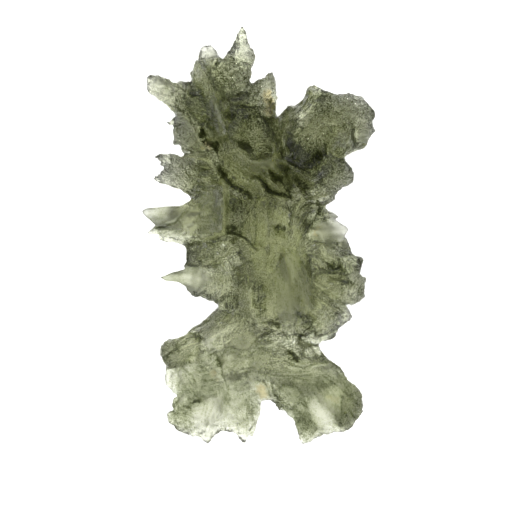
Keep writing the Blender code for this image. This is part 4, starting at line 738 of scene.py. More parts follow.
creases = [
    ([(-5.1, 15.1), (-4.7, 14.8), (-4.3, 14.4), (-4.1, 13.8), (-3.9, 13.2), (-3.7, 12.5)],
     0.22, 0.3),
    ([(-3.4, 15.2), (-3.6, 14.8), (-3.9, 14.4)], 0.2, 0.25),
    ([(-2.9, 15.1), (-2.3, 15.3), (-1.8, 15.1), (-1.2, 14.9), (-0.6, 14.8)], 0.14, 0.15),
    ([(-2.3, 11.3), (-1.2, 11.1), (0.0, 11.05), (0.9, 11.1)], 0.16, 0.3),
    ([(-7.0, 12.9), (-6.4, 12.4), (-5.6, 12.0), (-4.8, 12.0)], 0.16, 0.2),
    ([(-7.1, 11.2), (-6.5, 10.6), (-5.9, 10.0), (-5.6, 9.4), (-5.3, 8.9)], 0.16, 0.25),
    ([(-6.9, 10.5), (-6.3, 10.1)], 0.12, 0.2),
    ([(2.0, 9.6), (2.0, 8.4), (1.95, 7.2), (2.1, 6.6)], 0.16, 0.25),
    ([(2.4, 6.6), (3.2, 6.0), (4.2, 5.4), (4.9, 5.0)], 0.2, 0.25),
    ([(-0.5, 4.95), (0.1, 4.9), (0.45, 4.4), (0.9, 3.85), (1.5, 3.55), (2.2, 3.5), (2.8, 3.3)],
     0.26, 0.6),
    ([(-3.3, 5.6), (-2.8, 4.95), (-2.3, 4.4), (-1.7, 4.05), (-1.1, 3.7), (-0.5, 3.2)], 0.25, 0.45),
    ([(-2.75, 3.4), (-2.7, 2.4), (-2.75, 1.4), (-2.7, 0.3), (-1.9, 0.15), (-1.2, -0.2),
      (-0.5, -0.8), (0.0, -1.2)], 0.22, 0.5),
    ([(1.0, 0.8), (1.5, 0.75), (2.0, 0.85), (2.3, 0.4), (2.2, -0.1)], 0.18, 0.3),
    ([(5.8, 9.0), (5.8, 8.0), (5.8, 7.0), (5.7, 6.2)], 0.16, 0.25),
    ([(5.0, 2.9), (5.3, 2.3), (5.0, 1.6), (4.6, 1.0), (4.4, 0.4)], 0.16, 0.3),
    ([(5.0, 1.2), (5.9, 1.5), (6.6, 1.6)], 0.14, 0.2),
    ([(4.2, -1.6), (5.0, -1.7), (5.8, -2.2), (6.4, -2.9)], 0.16, 0.25),
    ([(7.0, -2.0), (7.1, -2.8), (7.6, -3.6), (8.0, -4.0)], 0.14, 0.25),
    ([(4.6, -3.2), (5.1, -4.0), (6.0, -4.4)], 0.12, 0.15),
    ([(7.1, -5.6), (7.3, -4.8), (7.2, -4.2)], 0.14, 0.25),
    ([(8.4, -5.9), (8.5, -5.0), (8.9, -4.4)], 0.16, 0.3),
    ([(7.8, -5.8), (8.2, -5.2)], 0.12, 0.2),
    ([(3.2, -6.2), (3.5, -7.2), (3.2, -8.0), (3.8, -8.9)], 0.18, 0.3),
    ([(4.9, -7.2), (4.4, -7.9), (3.9, -8.2)], 0.16, 0.25),
    ([(0.4, -7.5), (1.1, -7.4), (1.6, -7.6), (1.8, -8.0)], 0.18, 0.3),
    ([(1.0, -11.0), (2.4, -10.85), (3.2, -11.2), (4.0, -11.4), (4.8, -11.1), (6.0, -10.9)],
     0.14, 0.25),
    ([(0.6, -12.0), (2.0, -12.15), (3.4, -12.1), (4.6, -12.0)], 0.12, 0.2),
    ([(2.6, -9.9), (3.0, -10.2), (3.4, -10.8)], 0.2, 0.35),
    ([(-3.5, -10.6), (-3.2, -11.3), (-3.0, -12.2), (-2.6, -13.2), (-2.4, -14.2)], 0.18, 0.25),
    ([(-3.0, -12.8), (-2.9, -13.9), (-2.4, -14.8)], 0.14, 0.2),
    ([(-6.8, -11.4), (-6.2, -11.7), (-5.7, -12.0), (-5.4, -12.8)], 0.18, 0.25),
    ([(-5.2, -12.0), (-4.6, -12.6), (-4.0, -12.5), (-3.4, -12.7)], 0.12, 0.15),
    ([(-7.3, -14.2), (-7.0, -14.6), (-7.0, -15.2)], 0.18, 0.3),
    ([(-6.0, -14.8), (-5.6, -14.3), (-5.0, -14.2), (-4.6, -14.6)], 0.22, 0.3),
    ([(-8.2, -10.6), (-7.4, -10.0), (-6.6, -9.5), (-6.0, -9.0)], 0.22, 0.25),
    ([(-5.9, -8.4), (-5.2, -8.4), (-4.9, -9.0)], 0.18, 0.3),
    ([(-2.6, -2.0), (-2.1, -2.9), (-1.5, -2.6), (-0.8, -2.3), (0.0, -2.0)], 0.14, 0.25),
    ([(-2.2, -3.1), (-1.8, -3.5), (-1.0, -3.4), (-0.8, -4.2)], 0.14, 0.2),
    ([(-3.1, -1.9), (-2.4, -1.6), (-1.9, -1.5)], 0.14, 0.25),
    ([(-3.2, -1.9), (-4.0, -2.4), (-4.8, -2.8)], 0.12, 0.2),
    ([(1.2, -13.0), (1.3, -13.6), (1.8, -14.2), (2.6, -14.6)], 0.18, 0.3),
    ([(0.4, -12.6), (0.9, -13.2), (1.0, -13.9)], 0.16, 0.3),
    ([(3.2, -14.4), (3.8, -14.5), (4.3, -14.9), (4.5, -15.5)], 0.14, 0.25),
    ([(3.1, -15.0), (3.8, -15.3), (4.2, -15.9)], 0.12, 0.2),
    ([(7.2, -13.9), (7.2, -15.2), (7.0, -16.6)], 0.16, 0.2),
    ([(-7.6, 6.6), (-7.0, 6.2), (-6.3, 5.6), (-5.8, 5.0), (-5.2, 4.6)], 0.14, 0.25),
    ([(-8.2, 4.5), (-7.0, 4.1), (-6.2, 3.6), (-5.6, 3.2)], 0.16, 0.2),
    ([(-7.4, 5.4), (-6.6, 4.8), (-6.0, 4.2), (-5.4, 3.8)], 0.12, 0.2),
    ([(-8.8, 0.6), (-8.0, 0.8), (-7.2, 1.1), (-6.6, 1.6), (-5.9, 2.4)], 0.18, 0.25),
    ([(-6.8, 1.3), (-6.5, 0.9), (-6.4, 0.4)], 0.14, 0.2),
    ([(-5.9, 5.0), (-4.9, 4.2), (-4.2, 4.1), (-3.3, 4.2)], 0.14, 0.2),
    ([(-0.1, 3.4), (-0.2, 1.8), (-0.15, 0.4), (-0.2, -1.0)], 0.18, 0.3),
    ([(0.9, 3.0), (0.95, 1.8), (1.0, 0.8)], 0.12, 0.15),
    ([(2.0, 2.6), (2.2, 1.6), (2.7, 0.9)], 0.12, 0.12),
    ([(6.4, 4.4), (7.0, 4.9), (8.0, 5.0)], 0.14, 0.2),
    ([(4.9, 6.0), (5.3, 5.2), (5.6, 4.6)], 0.18, 0.3),
]

# Which way the skin's wrinkles run, in degrees, around each place.
flow_marks = [
    ((-9.0, 13.2), -35), ((-7.5, 12.0), -40), ((-6.5, 10.6), -42), ((-7.0, 9.0), 75),
    ((-6.3, 7.6), -20), ((-5.4, 13.8), 80), ((-5.0, 11.8), 5), ((-4.6, 10.0), -10),
    ((-4.2, 8.4), -60), ((-3.6, 11.5), -70), ((-2.4, 13.8), 40), ((-1.4, 16.5), 85),
    ((-4.4, 15.8), 80), ((-1.5, 12.0), -20), ((-1.8, 9.5), -30), ((0.2, 7.6), -30),
    ((0.6, 12.6), 55), ((0.8, 9.8), -50), ((1.6, 8.0), -85), ((3.0, 10.0), 45),
    ((4.4, 11.6), 55), ((3.0, 8.0), 60), ((4.5, 6.5), -35), ((6.0, 11.5), -50),
    ((7.4, 11.4), 40), ((9.0, 11.3), -45), ((9.2, 8.6), 20), ((7.0, 9.0), -60),
    ((6.4, 7.8), -45), ((8.2, 9.2), 85), ((-8.2, 6.6), -10), ((-7.0, 5.6), -38),
    ((-8.0, 5.0), -25), ((-6.2, 4.4), -38), ((-5.4, 5.8), -8), ((-4.6, 3.4), -5),
    ((-3.4, 3.0), 85), ((-8.5, 2.0), 10), ((-7.0, 1.6), 40), ((-6.0, 1.0), 80),
    ((-8.3, 0.5), 25), ((-4.3, 1.2), 0), ((-5.0, -1.4), 60), ((-3.4, -1.2), 40),
    ((-7.0, -3.4), 10), ((-5.0, -4.2), 35), ((-3.4, -4.6), 80), ((-1.4, -4.0), 50),
    ((-1.2, 5.4), -35), ((-1.6, 3.4), -30), ((-1.5, 1.6), 70), ((-1.2, -1.6), -50),
    ((0.3, 3.0), 85), ((0.1, 0.0), 88), ((-2.0, -5.6), 70), ((1.0, -2.2), 80),
    ((2.6, -2.4), -70), ((2.8, -4.8), -85), ((0.5, -5.0), 90), ((1.4, 5.8), -35),
    ((3.6, 4.0), -50), ((1.6, 1.8), 80), ((4.0, 1.6), 60), ((5.4, 2.2), 20),
    ((4.0, -0.5), 50), ((6.4, 0.6), 20), ((7.5, -0.8), -30), ((6.0, -1.2), -40),
    ((5.2, -2.6), -40), ((6.5, -3.6), 5), ((5.2, -4.6), -35), ((8.0, -2.4), -30),
    ((8.4, -5.0), 80), ((6.4, -5.8), -40), ((-5.0, -8.0), 30), ((-7.4, -9.8), 30),
    ((-3.0, -8.0), 55), ((-1.5, -7.6), 55), ((-1.0, -9.8), 40), ((-2.8, -10.0), 45),
    ((-4.6, -9.6), 50), ((-5.6, -10.8), -10), ((-7.4, -12.4), 80), ((-5.6, -12.6), -50),
    ((-4.2, -12.6), 10), ((-4.2, -15.2), 75), ((-6.4, -15.6), -20), ((-7.2, -14.6), -70),
    ((-2.4, -13.0), -70), ((-1.2, -12.8), 20), ((-1.4, -15.8), 80), ((0.8, -9.4), 25),
    ((3.0, -7.0), -80), ((4.4, -7.2), -50), ((6.2, -6.8), -35), ((5.4, -8.4), 30),
    ((3.8, -9.6), -45), ((2.0, -10.2), 10), ((2.4, -11.5), -3), ((4.0, -12.6), -8),
    ((6.4, -12.2), -35), ((8.0, -13.6), -45), ((3.0, -13.6), -45), ((5.4, -14.0), -60),
    ((4.0, -15.4), -50), ((8.0, -15.6), -65), ((6.2, -16.2), -20), ((4.2, -17.0), 60),
    ((1.8, -14.0), -50), ((0.2, -13.4), -60), ((8.0, 5.2), 15), ((6.0, 5.2), -25),
]
table_shift = 0.075
scallop_size, scallop_depth = 1.7, 0.07
hackle_sizes, hackle_depths = (0.95, 0.5), (0.14, 0.12)
flow_length, flow_width, flow_depth = 1.5, 0.26, 0.12
crinkle_size, crinkle_depth = 0.34, 0.06
skin_faces = 196000
most_eaten, counted_glass = 0.35, 2.0


def scallops(places, size):
    """0 on the crests between the scallops, about 1 in the middle of each."""
    near_and_far = [noise.voronoi(place)[0][:2] for place in (places / size).tolist()]
    near, far = np.array(near_and_far).T
    return np.clip(1.6 * (far - near), 0, 1)


def hackles(places, size):
    """Small flat-sided pits, 0 at their bottoms and about 1 on the edges between them."""
    cells = (places / size).tolist()
    return np.array([noise.voronoi(cell, distance_metric="MANHATTAN")[0][0] for cell in cells])


def along_the_flow(places):
    """Each place's distance along and across the wrinkles there, and its height, in mm."""
    marks = np.array([mark for mark, _ in flow_marks])
    turns = np.radians([turn for _, turn in flow_marks])
    strayed = places[:, :2] + 0.5 * np.stack([noisy(places, 0.8), noisy(places, 0.8, (7, 0, 0))], 1)
    best, nearest = np.full(len(places), np.inf), np.zeros(len(places), dtype=int)
    for index, mark in enumerate(marks):
        gap = ((strayed - mark) ** 2).sum(axis=1)
        nearest[gap < best] = index
        best = np.minimum(best, gap)
    out, turn = places[:, :2] - marks[nearest], turns[nearest]
    along = out[:, 0] * np.cos(turn) + out[:, 1] * np.sin(turn)
    across = out[:, 1] * np.cos(turn) - out[:, 0] * np.sin(turn)
    return np.stack([along + 11.0 * nearest, across, places[:, 2]], 1)


def glass_under(skin, places, normals):
    """How thick the glass is straight in from each place, in mm, up to the counted glass."""
    whole = BVHTree.FromBMesh(skin)
    thick = np.full(len(places), counted_glass)
    for number, (place, normal) in enumerate(zip((places * mm).tolist(), normals.tolist())):
        inward = -Vector(normal)
        gap = whole.ray_cast(
            Vector(place) + inward * 0.02 * mm, inward, counted_glass * mm)[3]
        if gap is not None:
            thick[number] = gap / mm
    return thick


def drawn(places, lines):
    """How deep the lines go at each place, in mm."""
    deepest = np.zeros(len(places))
    for line, half_width, depth in lines:
        deepest = np.maximum(deepest, depth * ridge(places, line, half_width, half_width))
    return deepest


skin, places, normals = skin_of(stone)
above, up, down, off_ground = facing(places, normals)
smooth = np.zeros(len(places))
for line, left, right, height in upper_ribs:
    smooth = np.maximum(smooth, ridge(places, line, left, right) * np.clip(above, 0, 1))
calm, coarse = np.zeros(len(places)), np.zeros(len(places))
for centre, reach, turn, most in calm_places:
    calm = np.maximum(calm, most * spot(places, centre, reach, turn))
for centre, reach, turn, most in coarse_places:
    coarse = np.maximum(coarse, most * np.clip(1.5 * spot(places, centre, reach, turn), 0, 1))
still = np.zeros(len(places))
for centre, reach, turn, most in still_places:
    still = np.maximum(still, most * np.clip(2 * spot(places, centre, reach, turn), 0, 1))
patchy = 0.5 + 0.5 * noisy(places, 2.2, (4, 4, 4))
rough = (0.55 + 0.5 * patchy + 0.9 * coarse - 0.5 * calm * up) * (1 - 0.4 * smooth) * off_ground
flow = along_the_flow(places) / np.array([flow_length, flow_width, 1.2])
flow = 1 - 2 * np.abs(noisy(flow, 1))
crinkle = 1 - 2 * np.abs(noisy(places, crinkle_size, (3, 5, 8)))
body = np.clip(np.abs(above), 0.2, 1)
shaken = places + 0.5 * np.stack(
    [noisy(places, 0.9, (1, 0, 5)), noisy(places, 0.9, (8, 3, 0)), 0 * above], 1)
relief = -scallop_depth * scallops(shaken, scallop_size) * body * (0.6 + 0.8 * coarse)
for size, depth in zip(hackle_sizes, hackle_depths):
    relief += depth * (hackles(places + 0.12 * crinkle[:, None], size) - 0.7) * body * rough
relief = relief * off_ground + rough * crinkle_depth * (crinkle - 0.5)
relief += (flow_depth * (flow - 0.5) * (0.7 + 0.2 * patchy + 0.3 * coarse)
           * (1 - 0.4 * smooth) * off_ground)
strayed = places.copy()
for axis in range(2):
    strayed[:, axis] += table_shift * (axis == 0) + 0.1 * noisy(places, 0.35, (5 * axis, 2, 0))
lines = drawn(strayed, crests) - drawn(strayed, creases)
relief *= (1 - 0.75 * still) * (1 - np.clip(np.abs(lines) * 3, 0, 0.5))
deepest = most_eaten * glass_under(skin, places, normals)
places += normals * np.maximum(relief, -deepest)[:, None]
places[:, 2] += np.maximum(lines * up, -deepest)
put_back(stone, skin, places)
thin = stone.modifiers.new("thin out", "DECIMATE")
thin.ratio = skin_faces / (2 * len(stone.data.polygons))
thin.use_collapse_triangulate = True
settle(stone)


# The feet: the lowest keels are worn flat, and the stone lies on them. The finished stone is
# brought to its true length, with its middle over the origin.
length = 36.0
skin = bmesh.new()
skin.from_mesh(stone.data)
places = np.array([vertex.co for vertex in skin.verts])
low, high = places.min(axis=0), places.max(axis=0)
share = length * mm / (high[1] - low[1])
bmesh.ops.translate(
    skin, vec=(-(low[0] + high[0]) / 2, -(low[1] + high[1]) / 2, 0), verts=skin.verts)
bmesh.ops.scale(skin, vec=(share, share, share), verts=skin.verts)
worn = bmesh.ops.bisect_plane(
    skin, geom=skin.verts[:] + skin.edges[:] + skin.faces[:], dist=1e-7,
    plane_co=(0, 0, 0), plane_no=(0, 0, 1), clear_inner=True)
rims = [e for e in worn["geom_cut"] if isinstance(e, bmesh.types.BMEdge)]
bmesh.ops.edgeloop_fill(skin, edges=rims)
bmesh.ops.triangulate(skin, faces=skin.faces)
bmesh.ops.recalc_face_normals(skin, faces=skin.faces)
if skin.calc_volume(signed=True) < 0:
    bmesh.ops.reverse_faces(skin, faces=skin.faces)
for face in skin.faces:
    face.smooth = True
skin.to_mesh(stone.data)
skin.free()


# The glass: bottle green, clear where it is thin. Its colour carries painted shade, nearly
# black-green in the pits, slots and creases and dark along the outline, and painted highlights
# on the crests and blade edges and as pale specks where it is splintered. Its skin is etched
# matt, splintered in a few places and frosted on the thorns, with iron stains in the notches.
# Spots are given as middle, half length and width, turn, strength.
# Spots where the glass is tinted deeper on both faces: partly the glass's own deeper colour, partly
# painted shade in the hollows, such as inside the hook and in the bowl.
deep_tint_and_shade_places = [
    ((-3.8, 10.4), (3.9, 4.6), 0, 0.8),  # the left shoulder
    ((-4.6, 11.4), (2.3, 2.3), 0, 0.4),
    ((-6.6, 11.2), (1.4, 1.8), -40, 1.0),
    ((-6.8, 8.3), (1.2, 1.6), 0, 0.8),
    ((-8.4, 12.8), (1.8, 1.3), 0, 0.6),
    ((-2.3, 13.9), (3.0, 1.8), 0, 1.4),  # the web between the top spikes
    ((-1.3, 17.2), (0.9, 1.6), 0, 1.0),
    ((0.4, 12.8), (1.6, 1.6), 0, 1.2),
    ((-0.4, 9.4), (2.8, 3.9), 0, 1.2),  # inside the hook
    ((5.2, 8.6), (5.8, 5.3), 0, 0.5),  # the right wing
    ((4.0, 7.0), (3.1, 2.6), 60, 1.4),  # its bowl
    ((3.4, 10.4), (2.2, 2.2), 0, -0.6),
    ((5.6, 11.4), (2.2, 1.5), -20, 1.2),
    ((7.2, 8.4), (1.5, 1.8), 0, 0.8),
    ((8.6, 10.2), (1.8, 1.8), 0, 0.4),
    ((6.6, 5.0), (2.5, 1.6), 15, 1.4),
    ((0.6, 4.8), (5.8, 3.0), 0, 0.4),
    ((-5.0, 5.0), (2.3, 1.8), 0, 0.8),
    ((-1.6, 1.5), (1.8, 2.5), 0, 1.2),
    ((-4.2, 0.8), (2.8, 3.9), 0, 0.4),
    ((0.2, 1.8), (1.3, 2.8), 0, 0.2),
    ((4.4, 1.4), (2.0, 2.0), 0, 0.8),
    ((6.4, -2.6), (3.5, 4.1), 0, 0.6),
    ((8.0, -2.2), (1.4, 1.4), 0, 0.4),
    ((-4.6, -1.6), (2.5, 1.6), 20, 0.8),
    ((-7.4, -3.8), (1.8, 0.9), 0, 0.8),
    ((-9.0, 1.8), (1.6, 1.0), 0, 0.4),
    ((-2.4, -5.4), (1.8, 3.0), 0, 0.6),
    ((5.6, -7.4), (2.2, 1.8), 0, 0.6),
    ((2.4, -6.6), (2.2, 2.2), 0, -0.2),
    ((-2.0, -8.4), (3.4, 2.2), 30, -0.4),
    ((-1.0, -10.4), (4.6, 2.8), 0, 0.4),
    ((-7.4, -10.0), (2.1, 1.6), 0, 1.4),
    ((-5.2, -13.2), (2.8, 2.5), 0, 0.6),
    ((-6.8, -15.8), (1.8, 1.8), 0, 0.8),
    ((-0.9, -14.8), (1.4, 2.0), 0, 0.6),
    ((5.0, -13.6), (5.5, 4.8), 0, 0.6),
    ((6.6, -13.8), (1.6, 1.8), 0, -0.4),
    ((8.2, -15.0), (1.8, 3.0), 0, 0.8),
    ((4.0, -16.6), (1.3, 1.6), 0, 0.8),
]
# Dark spots on the upper face: painted shade in the pits, slots and creases.
dark_places = [
    ((-1.2, 7.7), (1.2, 0.7), -32, 1.4),
    ((-5.0, 8.8), (0.6, 0.6), 0, 1.4),
    ((-4.0, 7.7), (1.2, 0.6), -25, 1.2),
    ((-3.2, 5.5), (1.0, 0.7), -30, 0.8),
    ((2.6, 7.8), (1.2, 1.6), 0, 0.2),
    ((0.6, 9.8), (0.7, 1.4), 30, 0.6),
    ((8.2, 9.0), (0.5, 1.7), 0, 1.0),
    ((9.4, 10.3), (0.7, 1.0), 0, 0.6),
    ((1.7, 0.5), (0.9, 0.6), 0, 1.0),
    ((5.4, 2.2), (0.7, 0.9), 0, 0.4),
    ((6.4, -2.6), (0.6, 0.7), 0, 0.8),
    ((7.0, -2.6), (0.4, 0.9), 0, 1.0),
    ((7.4, -4.0), (1.2, 0.6), 0, 1.2),
    ((8.6, -5.2), (1.0, 1.4), 0, 1.2),
    ((-8.0, 0.6), (1.2, 0.6), 25, 1.0),
    ((0.1, -5.3), (1.3, 2.4), 0, 0.8),
    ((1.4, -7.7), (1.5, 1.0), -15, 0.6),
    ((4.0, -7.2), (1.5, 0.8), -55, 0.6),
    ((3.0, -10.3), (1.1, 0.8), -45, 0.8),
    ((5.6, -10.6), (0.8, 0.6), 0, 0.4),
    ((-5.4, -8.8), (0.9, 0.5), -15, 0.4),
    ((-3.4, -10.9), (0.7, 0.6), 0, 0.4),
    ((-5.4, -14.3), (0.9, 0.6), 10, 0.4),
    ((-7.1, -14.7), (0.5, 0.8), 0, 1.0),
    ((0.2, -13.6), (0.7, 1.1), 0, 1.2),
    ((2.0, -14.4), (1.4, 0.6), -40, 1.2),
]
clear_places = [
    ((-1.3, 16.4), (1.2, 1.4), 0, 0.4),
    ((-4.3, 15.9), (1.6, 1.3), 0, 1.0),
    ((-8.6, 13.0), (1.8, 1.4), 0, 0.4),
    ((1.0, 11.6), (0.7, 1.6), 0, 1.2),
    ((9.2, 8.6), (0.9, 0.9), 0, 1.0),
    ((-5.8, 1.2), (1.0, 1.6), 0, 1.2),
    ((6.4, 0.5), (2.1, 1.3), 0, 0.8),
    ((7.6, -0.6), (0.7, 0.9), 0, 1.2),
    ((8.0, -5.0), (0.7, 0.6), 0, 1.2),
    ((-4.2, -9.1), (0.9, 0.6), 45, 1.0),
    ((-4.2, -15.4), (2.0, 2.8), 0, 0.4),
    ((5.8, -15.2), (1.2, 2.5), 30, 1.0),
]
# Splintered places: rougher relief and a glossier skin there, and painted glints, pale specks in
# the colour.
glitter_places = [
    ((5.0, 9.0), (1.0, 0.8), 0, 1.0),
    ((5.5, 8.4), (0.6, 0.5), 0, 0.7),
    ((-1.7, 8.4), (0.7, 0.4), -20, 1.0),
    ((8.6, -3.5), (0.8, 0.9), 0, 0.8),
    ((8.0, -5.2), (0.8, 0.6), 0, 0.9),
    ((-2.6, 1.4), (0.8, 0.8), 0, 0.4),
    ((3.9, 4.9), (0.6, 0.9), -40, 0.4),
    ((8.8, 9.6), (0.7, 1.2), 0, 0.5),
    ((7.0, 4.6), (1.8, 0.8), 10, 0.45),
    ((-2.2, -4.6), (1.0, 0.9), 0, 0.45),
    ((-8.4, 12.2), (1.0, 0.5), -30, 0.5),
    ((-0.9, 15.8), (0.8, 1.0), 0, 0.5),
    ((-7.6, 4.9), (1.6, 0.6), -25, 0.6),
]
# Narrow sharp-edged slits, painted dark as shade in the slots: points, half width in the middle,
# strength.
slits = [
    ([(0.55, 5.5), (1.2, 5.2), (1.9, 4.7), (2.35, 4.2)], 0.42, 1.3),
    ([(2.2, 4.5), (2.5, 3.9), (2.8, 3.2)], 0.28, 1.0),
    ([(-0.5, 4.9), (0.2, 4.9), (0.5, 4.3), (0.9, 3.8), (1.5, 3.5), (2.2, 3.45), (2.8, 3.2)],
     0.26, 1.2),
    ([(3.1, 5.1), (3.6, 4.5), (4.1, 4.0), (4.7, 3.95)], 0.32, 1.1),
    ([(3.4, 4.8), (3.7, 4.2), (4.0, 3.5)], 0.2, 0.9),
    ([(-3.8, 6.1), (-3.2, 5.5), (-2.7, 4.8), (-2.0, 4.25), (-1.2, 3.9), (-0.4, 3.15)], 0.4, 0.9),
    ([(-2.0, 7.9), (-1.4, 7.8), (-0.9, 7.5), (-0.5, 7.0)], 0.45, 1.6),
    ([(-5.3, 8.4), (-4.9, 8.8), (-4.6, 9.1)], 0.4, 1.2),
    ([(-4.9, 8.1), (-4.2, 7.9), (-3.7, 7.4), (-3.5, 7.2)], 0.36, 1.3),
    ([(-2.8, 0.6), (-2.4, 0.7), (-1.8, 0.5)], 0.45, 0.7),
    ([(-2.9, 0.2), (-1.9, 0.15), (-1.0, -0.35), (-0.2, -1.1)], 0.18, 1.0),
    ([(1.0, 0.7), (1.6, 0.7), (2.1, 0.6), (2.3, 0.1)], 0.25, 0.8),
    ([(5.1, 2.9), (5.4, 2.3), (5.2, 1.7)], 0.35, 0.8),
    ([(6.1, -2.1), (6.4, -2.6), (6.5, -3.1)], 0.25, 1.0),
    ([(7.0, -2.0), (7.0, -2.7), (7.2, -3.2)], 0.2, 1.0),
    ([(7.0, -3.8), (7.5, -4.0), (8.1, -4.1)], 0.3, 0.8),
    ([(0.6, -7.5), (1.3, -7.5), (1.9, -8.0)], 0.22, 0.4),
    ([(3.3, -6.4), (3.9, -7.0), (4.6, -7.7)], 0.4, 0.5),
    ([(3.2, -8.0), (3.5, -8.5), (3.9, -9.0)], 0.2, 0.8),
    ([(2.7, -10.0), (3.0, -10.3), (3.4, -10.8)], 0.28, 0.5),
    ([(-5.9, -8.6), (-5.4, -8.7), (-4.9, -9.1)], 0.3, 0.9),
    ([(-5.9, -14.5), (-5.4, -14.3), (-4.8, -14.2)], 0.25, 1.0),
    ([(-8.2, -10.5), (-7.2, -9.9), (-6.2, -9.2)], 0.3, 0.7),
    ([(2.1, 8.6), (2.6, 8.0), (2.9, 7.0)], 0.4, 0.6),
    ([(4.9, 7.6), (5.2, 6.8), (5.2, 6.0)], 0.45, 0.7),
    ([(2.2, 6.8), (3.0, 6.2), (4.2, 5.6)], 0.3, 0.6),
    ([(0.1, 10.8), (0.6, 10.0), (1.0, 9.3)], 0.3, 0.6),
    ([(-2.9, 10.5), (-2.5, 10.2), (-2.0, 10.0)], 0.3, 0.8),
    ([(-3.9, 13.9), (-3.6, 14.4), (-3.4, 15.1)], 0.25, 0.7),
    ([(-4.9, 15.0), (-4.5, 14.6), (-4.2, 14.2)], 0.22, 0.7),
]
# Painted highlights along the edges of the blades, in the same way.
edge_highlights = [
    ([(-5.5, 14.4), (-4.8, 13.6), (-4.1, 12.0), (-3.5, 10.3), (-2.95, 8.7), (-2.35, 7.5)],
     0.26, 1.0),
    ([(-2.95, 8.7), (-1.95, 7.1), (-0.8, 6.25), (0.95, 5.9), (1.8, 6.5), (2.1, 7.95), (2.1, 9.4)],
     0.24, 0.9),
    ([(0.5, 4.8), (1.2, 3.65), (2.35, 2.95)], 0.13, 0.7),
    ([(2.1, 5.95), (3.25, 4.8), (4.7, 3.5)], 0.17, 0.8),
    ([(-2.95, 3.65), (-2.85, 2.2), (-3.0, 0.2)], 0.14, 0.9),
    ([(0.5, 2.5), (0.65, 0.8), (0.5, -0.4)], 0.19, 0.6),
    ([(2.95, 0.2), (3.2, 1.35), (3.8, 1.9), (5.0, 2.45), (6.7, 2.8)], 0.19, 1.0),
    ([(-4.55, -3.55), (-3.1, -2.25), (-1.95, -1.25), (-1.1, -0.7)], 0.17, 0.9),
    ([(-2.95, -1.7), (-2.8, -3.15), (-3.05, -4.9)], 0.13, 0.7),
    ([(0.5, -9.5), (1.5, -8.6), (2.1, -8.05)], 0.17, 0.7),
    ([(0.95, -11.8), (3.25, -12.05), (5.55, -11.5)], 0.14, 0.7),
    ([(2.95, -14.35), (4.4, -15.2), (4.2, -16.2)], 0.17, 0.6),
    ([(2.2, 8.9), (3.4, 10.2), (4.6, 11.6)], 0.17, 0.6),
    ([(-7.4, 4.2), (-6.2, 3.1), (-5.2, 2.6)], 0.17, 0.7),
    ([(5.2, -5.8), (6.4, -6.4), (7.2, -7.6)], 0.15, 0.6),
    ([(-4.6, -12.2), (-3.6, -13.4), (-3.1, -15.2)], 0.15, 0.5),
]
# Brown iron stains.
stained_places = [
    ((0.3, -13.4), (0.8, 1.1), 0, 0.8),
    ((0.8, 11.7), (0.8, 1.4), 0, 1.4),
    ((-4.7, 7.4), (0.35, 0.3), 0, 0.7),
    ((5.0, 0.5), (0.3, 0.3), 0, 0.6),
    ((-3.9, -12.0), (0.5, 0.5), 0, 0.4),
    ((6.4, -14.0), (0.5, 0.5), 0, 0.25),
]
rim_width, feet_height, feet_shade, lobes_from = 0.22, 0.4, 1.8, -11.0
crease_depth, edge_depth, pit_depth = 0.1, 0.5, 1.6
wrinkle_scale, speck_scale, cloud_scale = 4200.0, 8500.0, 600.0


def evened(values, pairs, rounds):
    """Smooths values over the skin: each round takes them halfway to their neighbours' mean."""
    count = np.bincount(pairs.ravel(), minlength=len(values))
    for _ in range(rounds):
        total = np.zeros_like(values)
        for axis in range(values.shape[1]):
            for here, there in ((0, 1), (1, 0)):
                total[:, axis] += np.bincount(
                    pairs[:, here], values[pairs[:, there], axis], len(values))
        values = 0.5 * values + 0.5 * total / count[:, None]
    return values


def painted(places, spots):
    """Soft-edged spots, added up where they overlap."""
    strength = np.zeros(len(places))
    for centre, reach, turn, most in spots:
        near = spot(places, centre, reach, turn)
        strength += most * near * near * (3 - 2 * near)
    return strength


def lined(places, lines):
    """The strength of the lines at each place: sharp-edged, and tapering to both ends."""
    strength = np.zeros(len(places))
    for line, half_width, most in lines:
        line = np.array(line)
        runs = np.diff(line, axis=0)
        steps = np.hypot(runs[:, 0], runs[:, 1])
        gone, nearest, here = 0.0, np.full(len(places), np.inf), np.zeros(len(places))
        for start, run, step in zip(line[:-1], runs, steps):
            part = np.clip((places[:, :2] - start) @ run / step ** 2, 0, 1)
            gap = places[:, :2] - start - part[:, None] * run
            away = np.hypot(gap[:, 0], gap[:, 1])
            here = np.where(away < nearest, (gone + part * step) / steps.sum(), here)
            nearest = np.minimum(nearest, away)
            gone += step
        wide = half_width * np.sin(np.pi * np.clip(here, 0.03, 0.97)) ** 0.6
        strength = np.maximum(strength, most * np.clip((wide - nearest) / 0.2, 0, 1))
    return strength


def record(piece, name, values):
    """Keeps one number or place for each point of the skin, for the glass to read."""
    values = np.asarray(values, dtype=np.float32)
    kind, field = ("FLOAT", "value") if values.ndim == 1 else ("FLOAT_VECTOR", "vector")
    piece.data.attributes.new(name, kind, "POINT").data.foreach_set(field, values.ravel())


count = len(stone.data.vertices)
places, normals = np.zeros(count * 3), np.zeros(count * 3)
stone.data.vertices.foreach_get("co", places)
stone.data.vertex_normals.foreach_get("vector", normals)
places, normals = places.reshape(-1, 3) / mm, normals.reshape(-1, 3)
pairs = np.zeros(2 * len(stone.data.edges), dtype=np.int32)
stone.data.edges.foreach_get("vertices", pairs)
pairs = pairs.reshape(-1, 2)
fine = evened(places, pairs, 8)
middling = evened(fine, pairs, 40)
broad = evened(middling, pairs, 200)
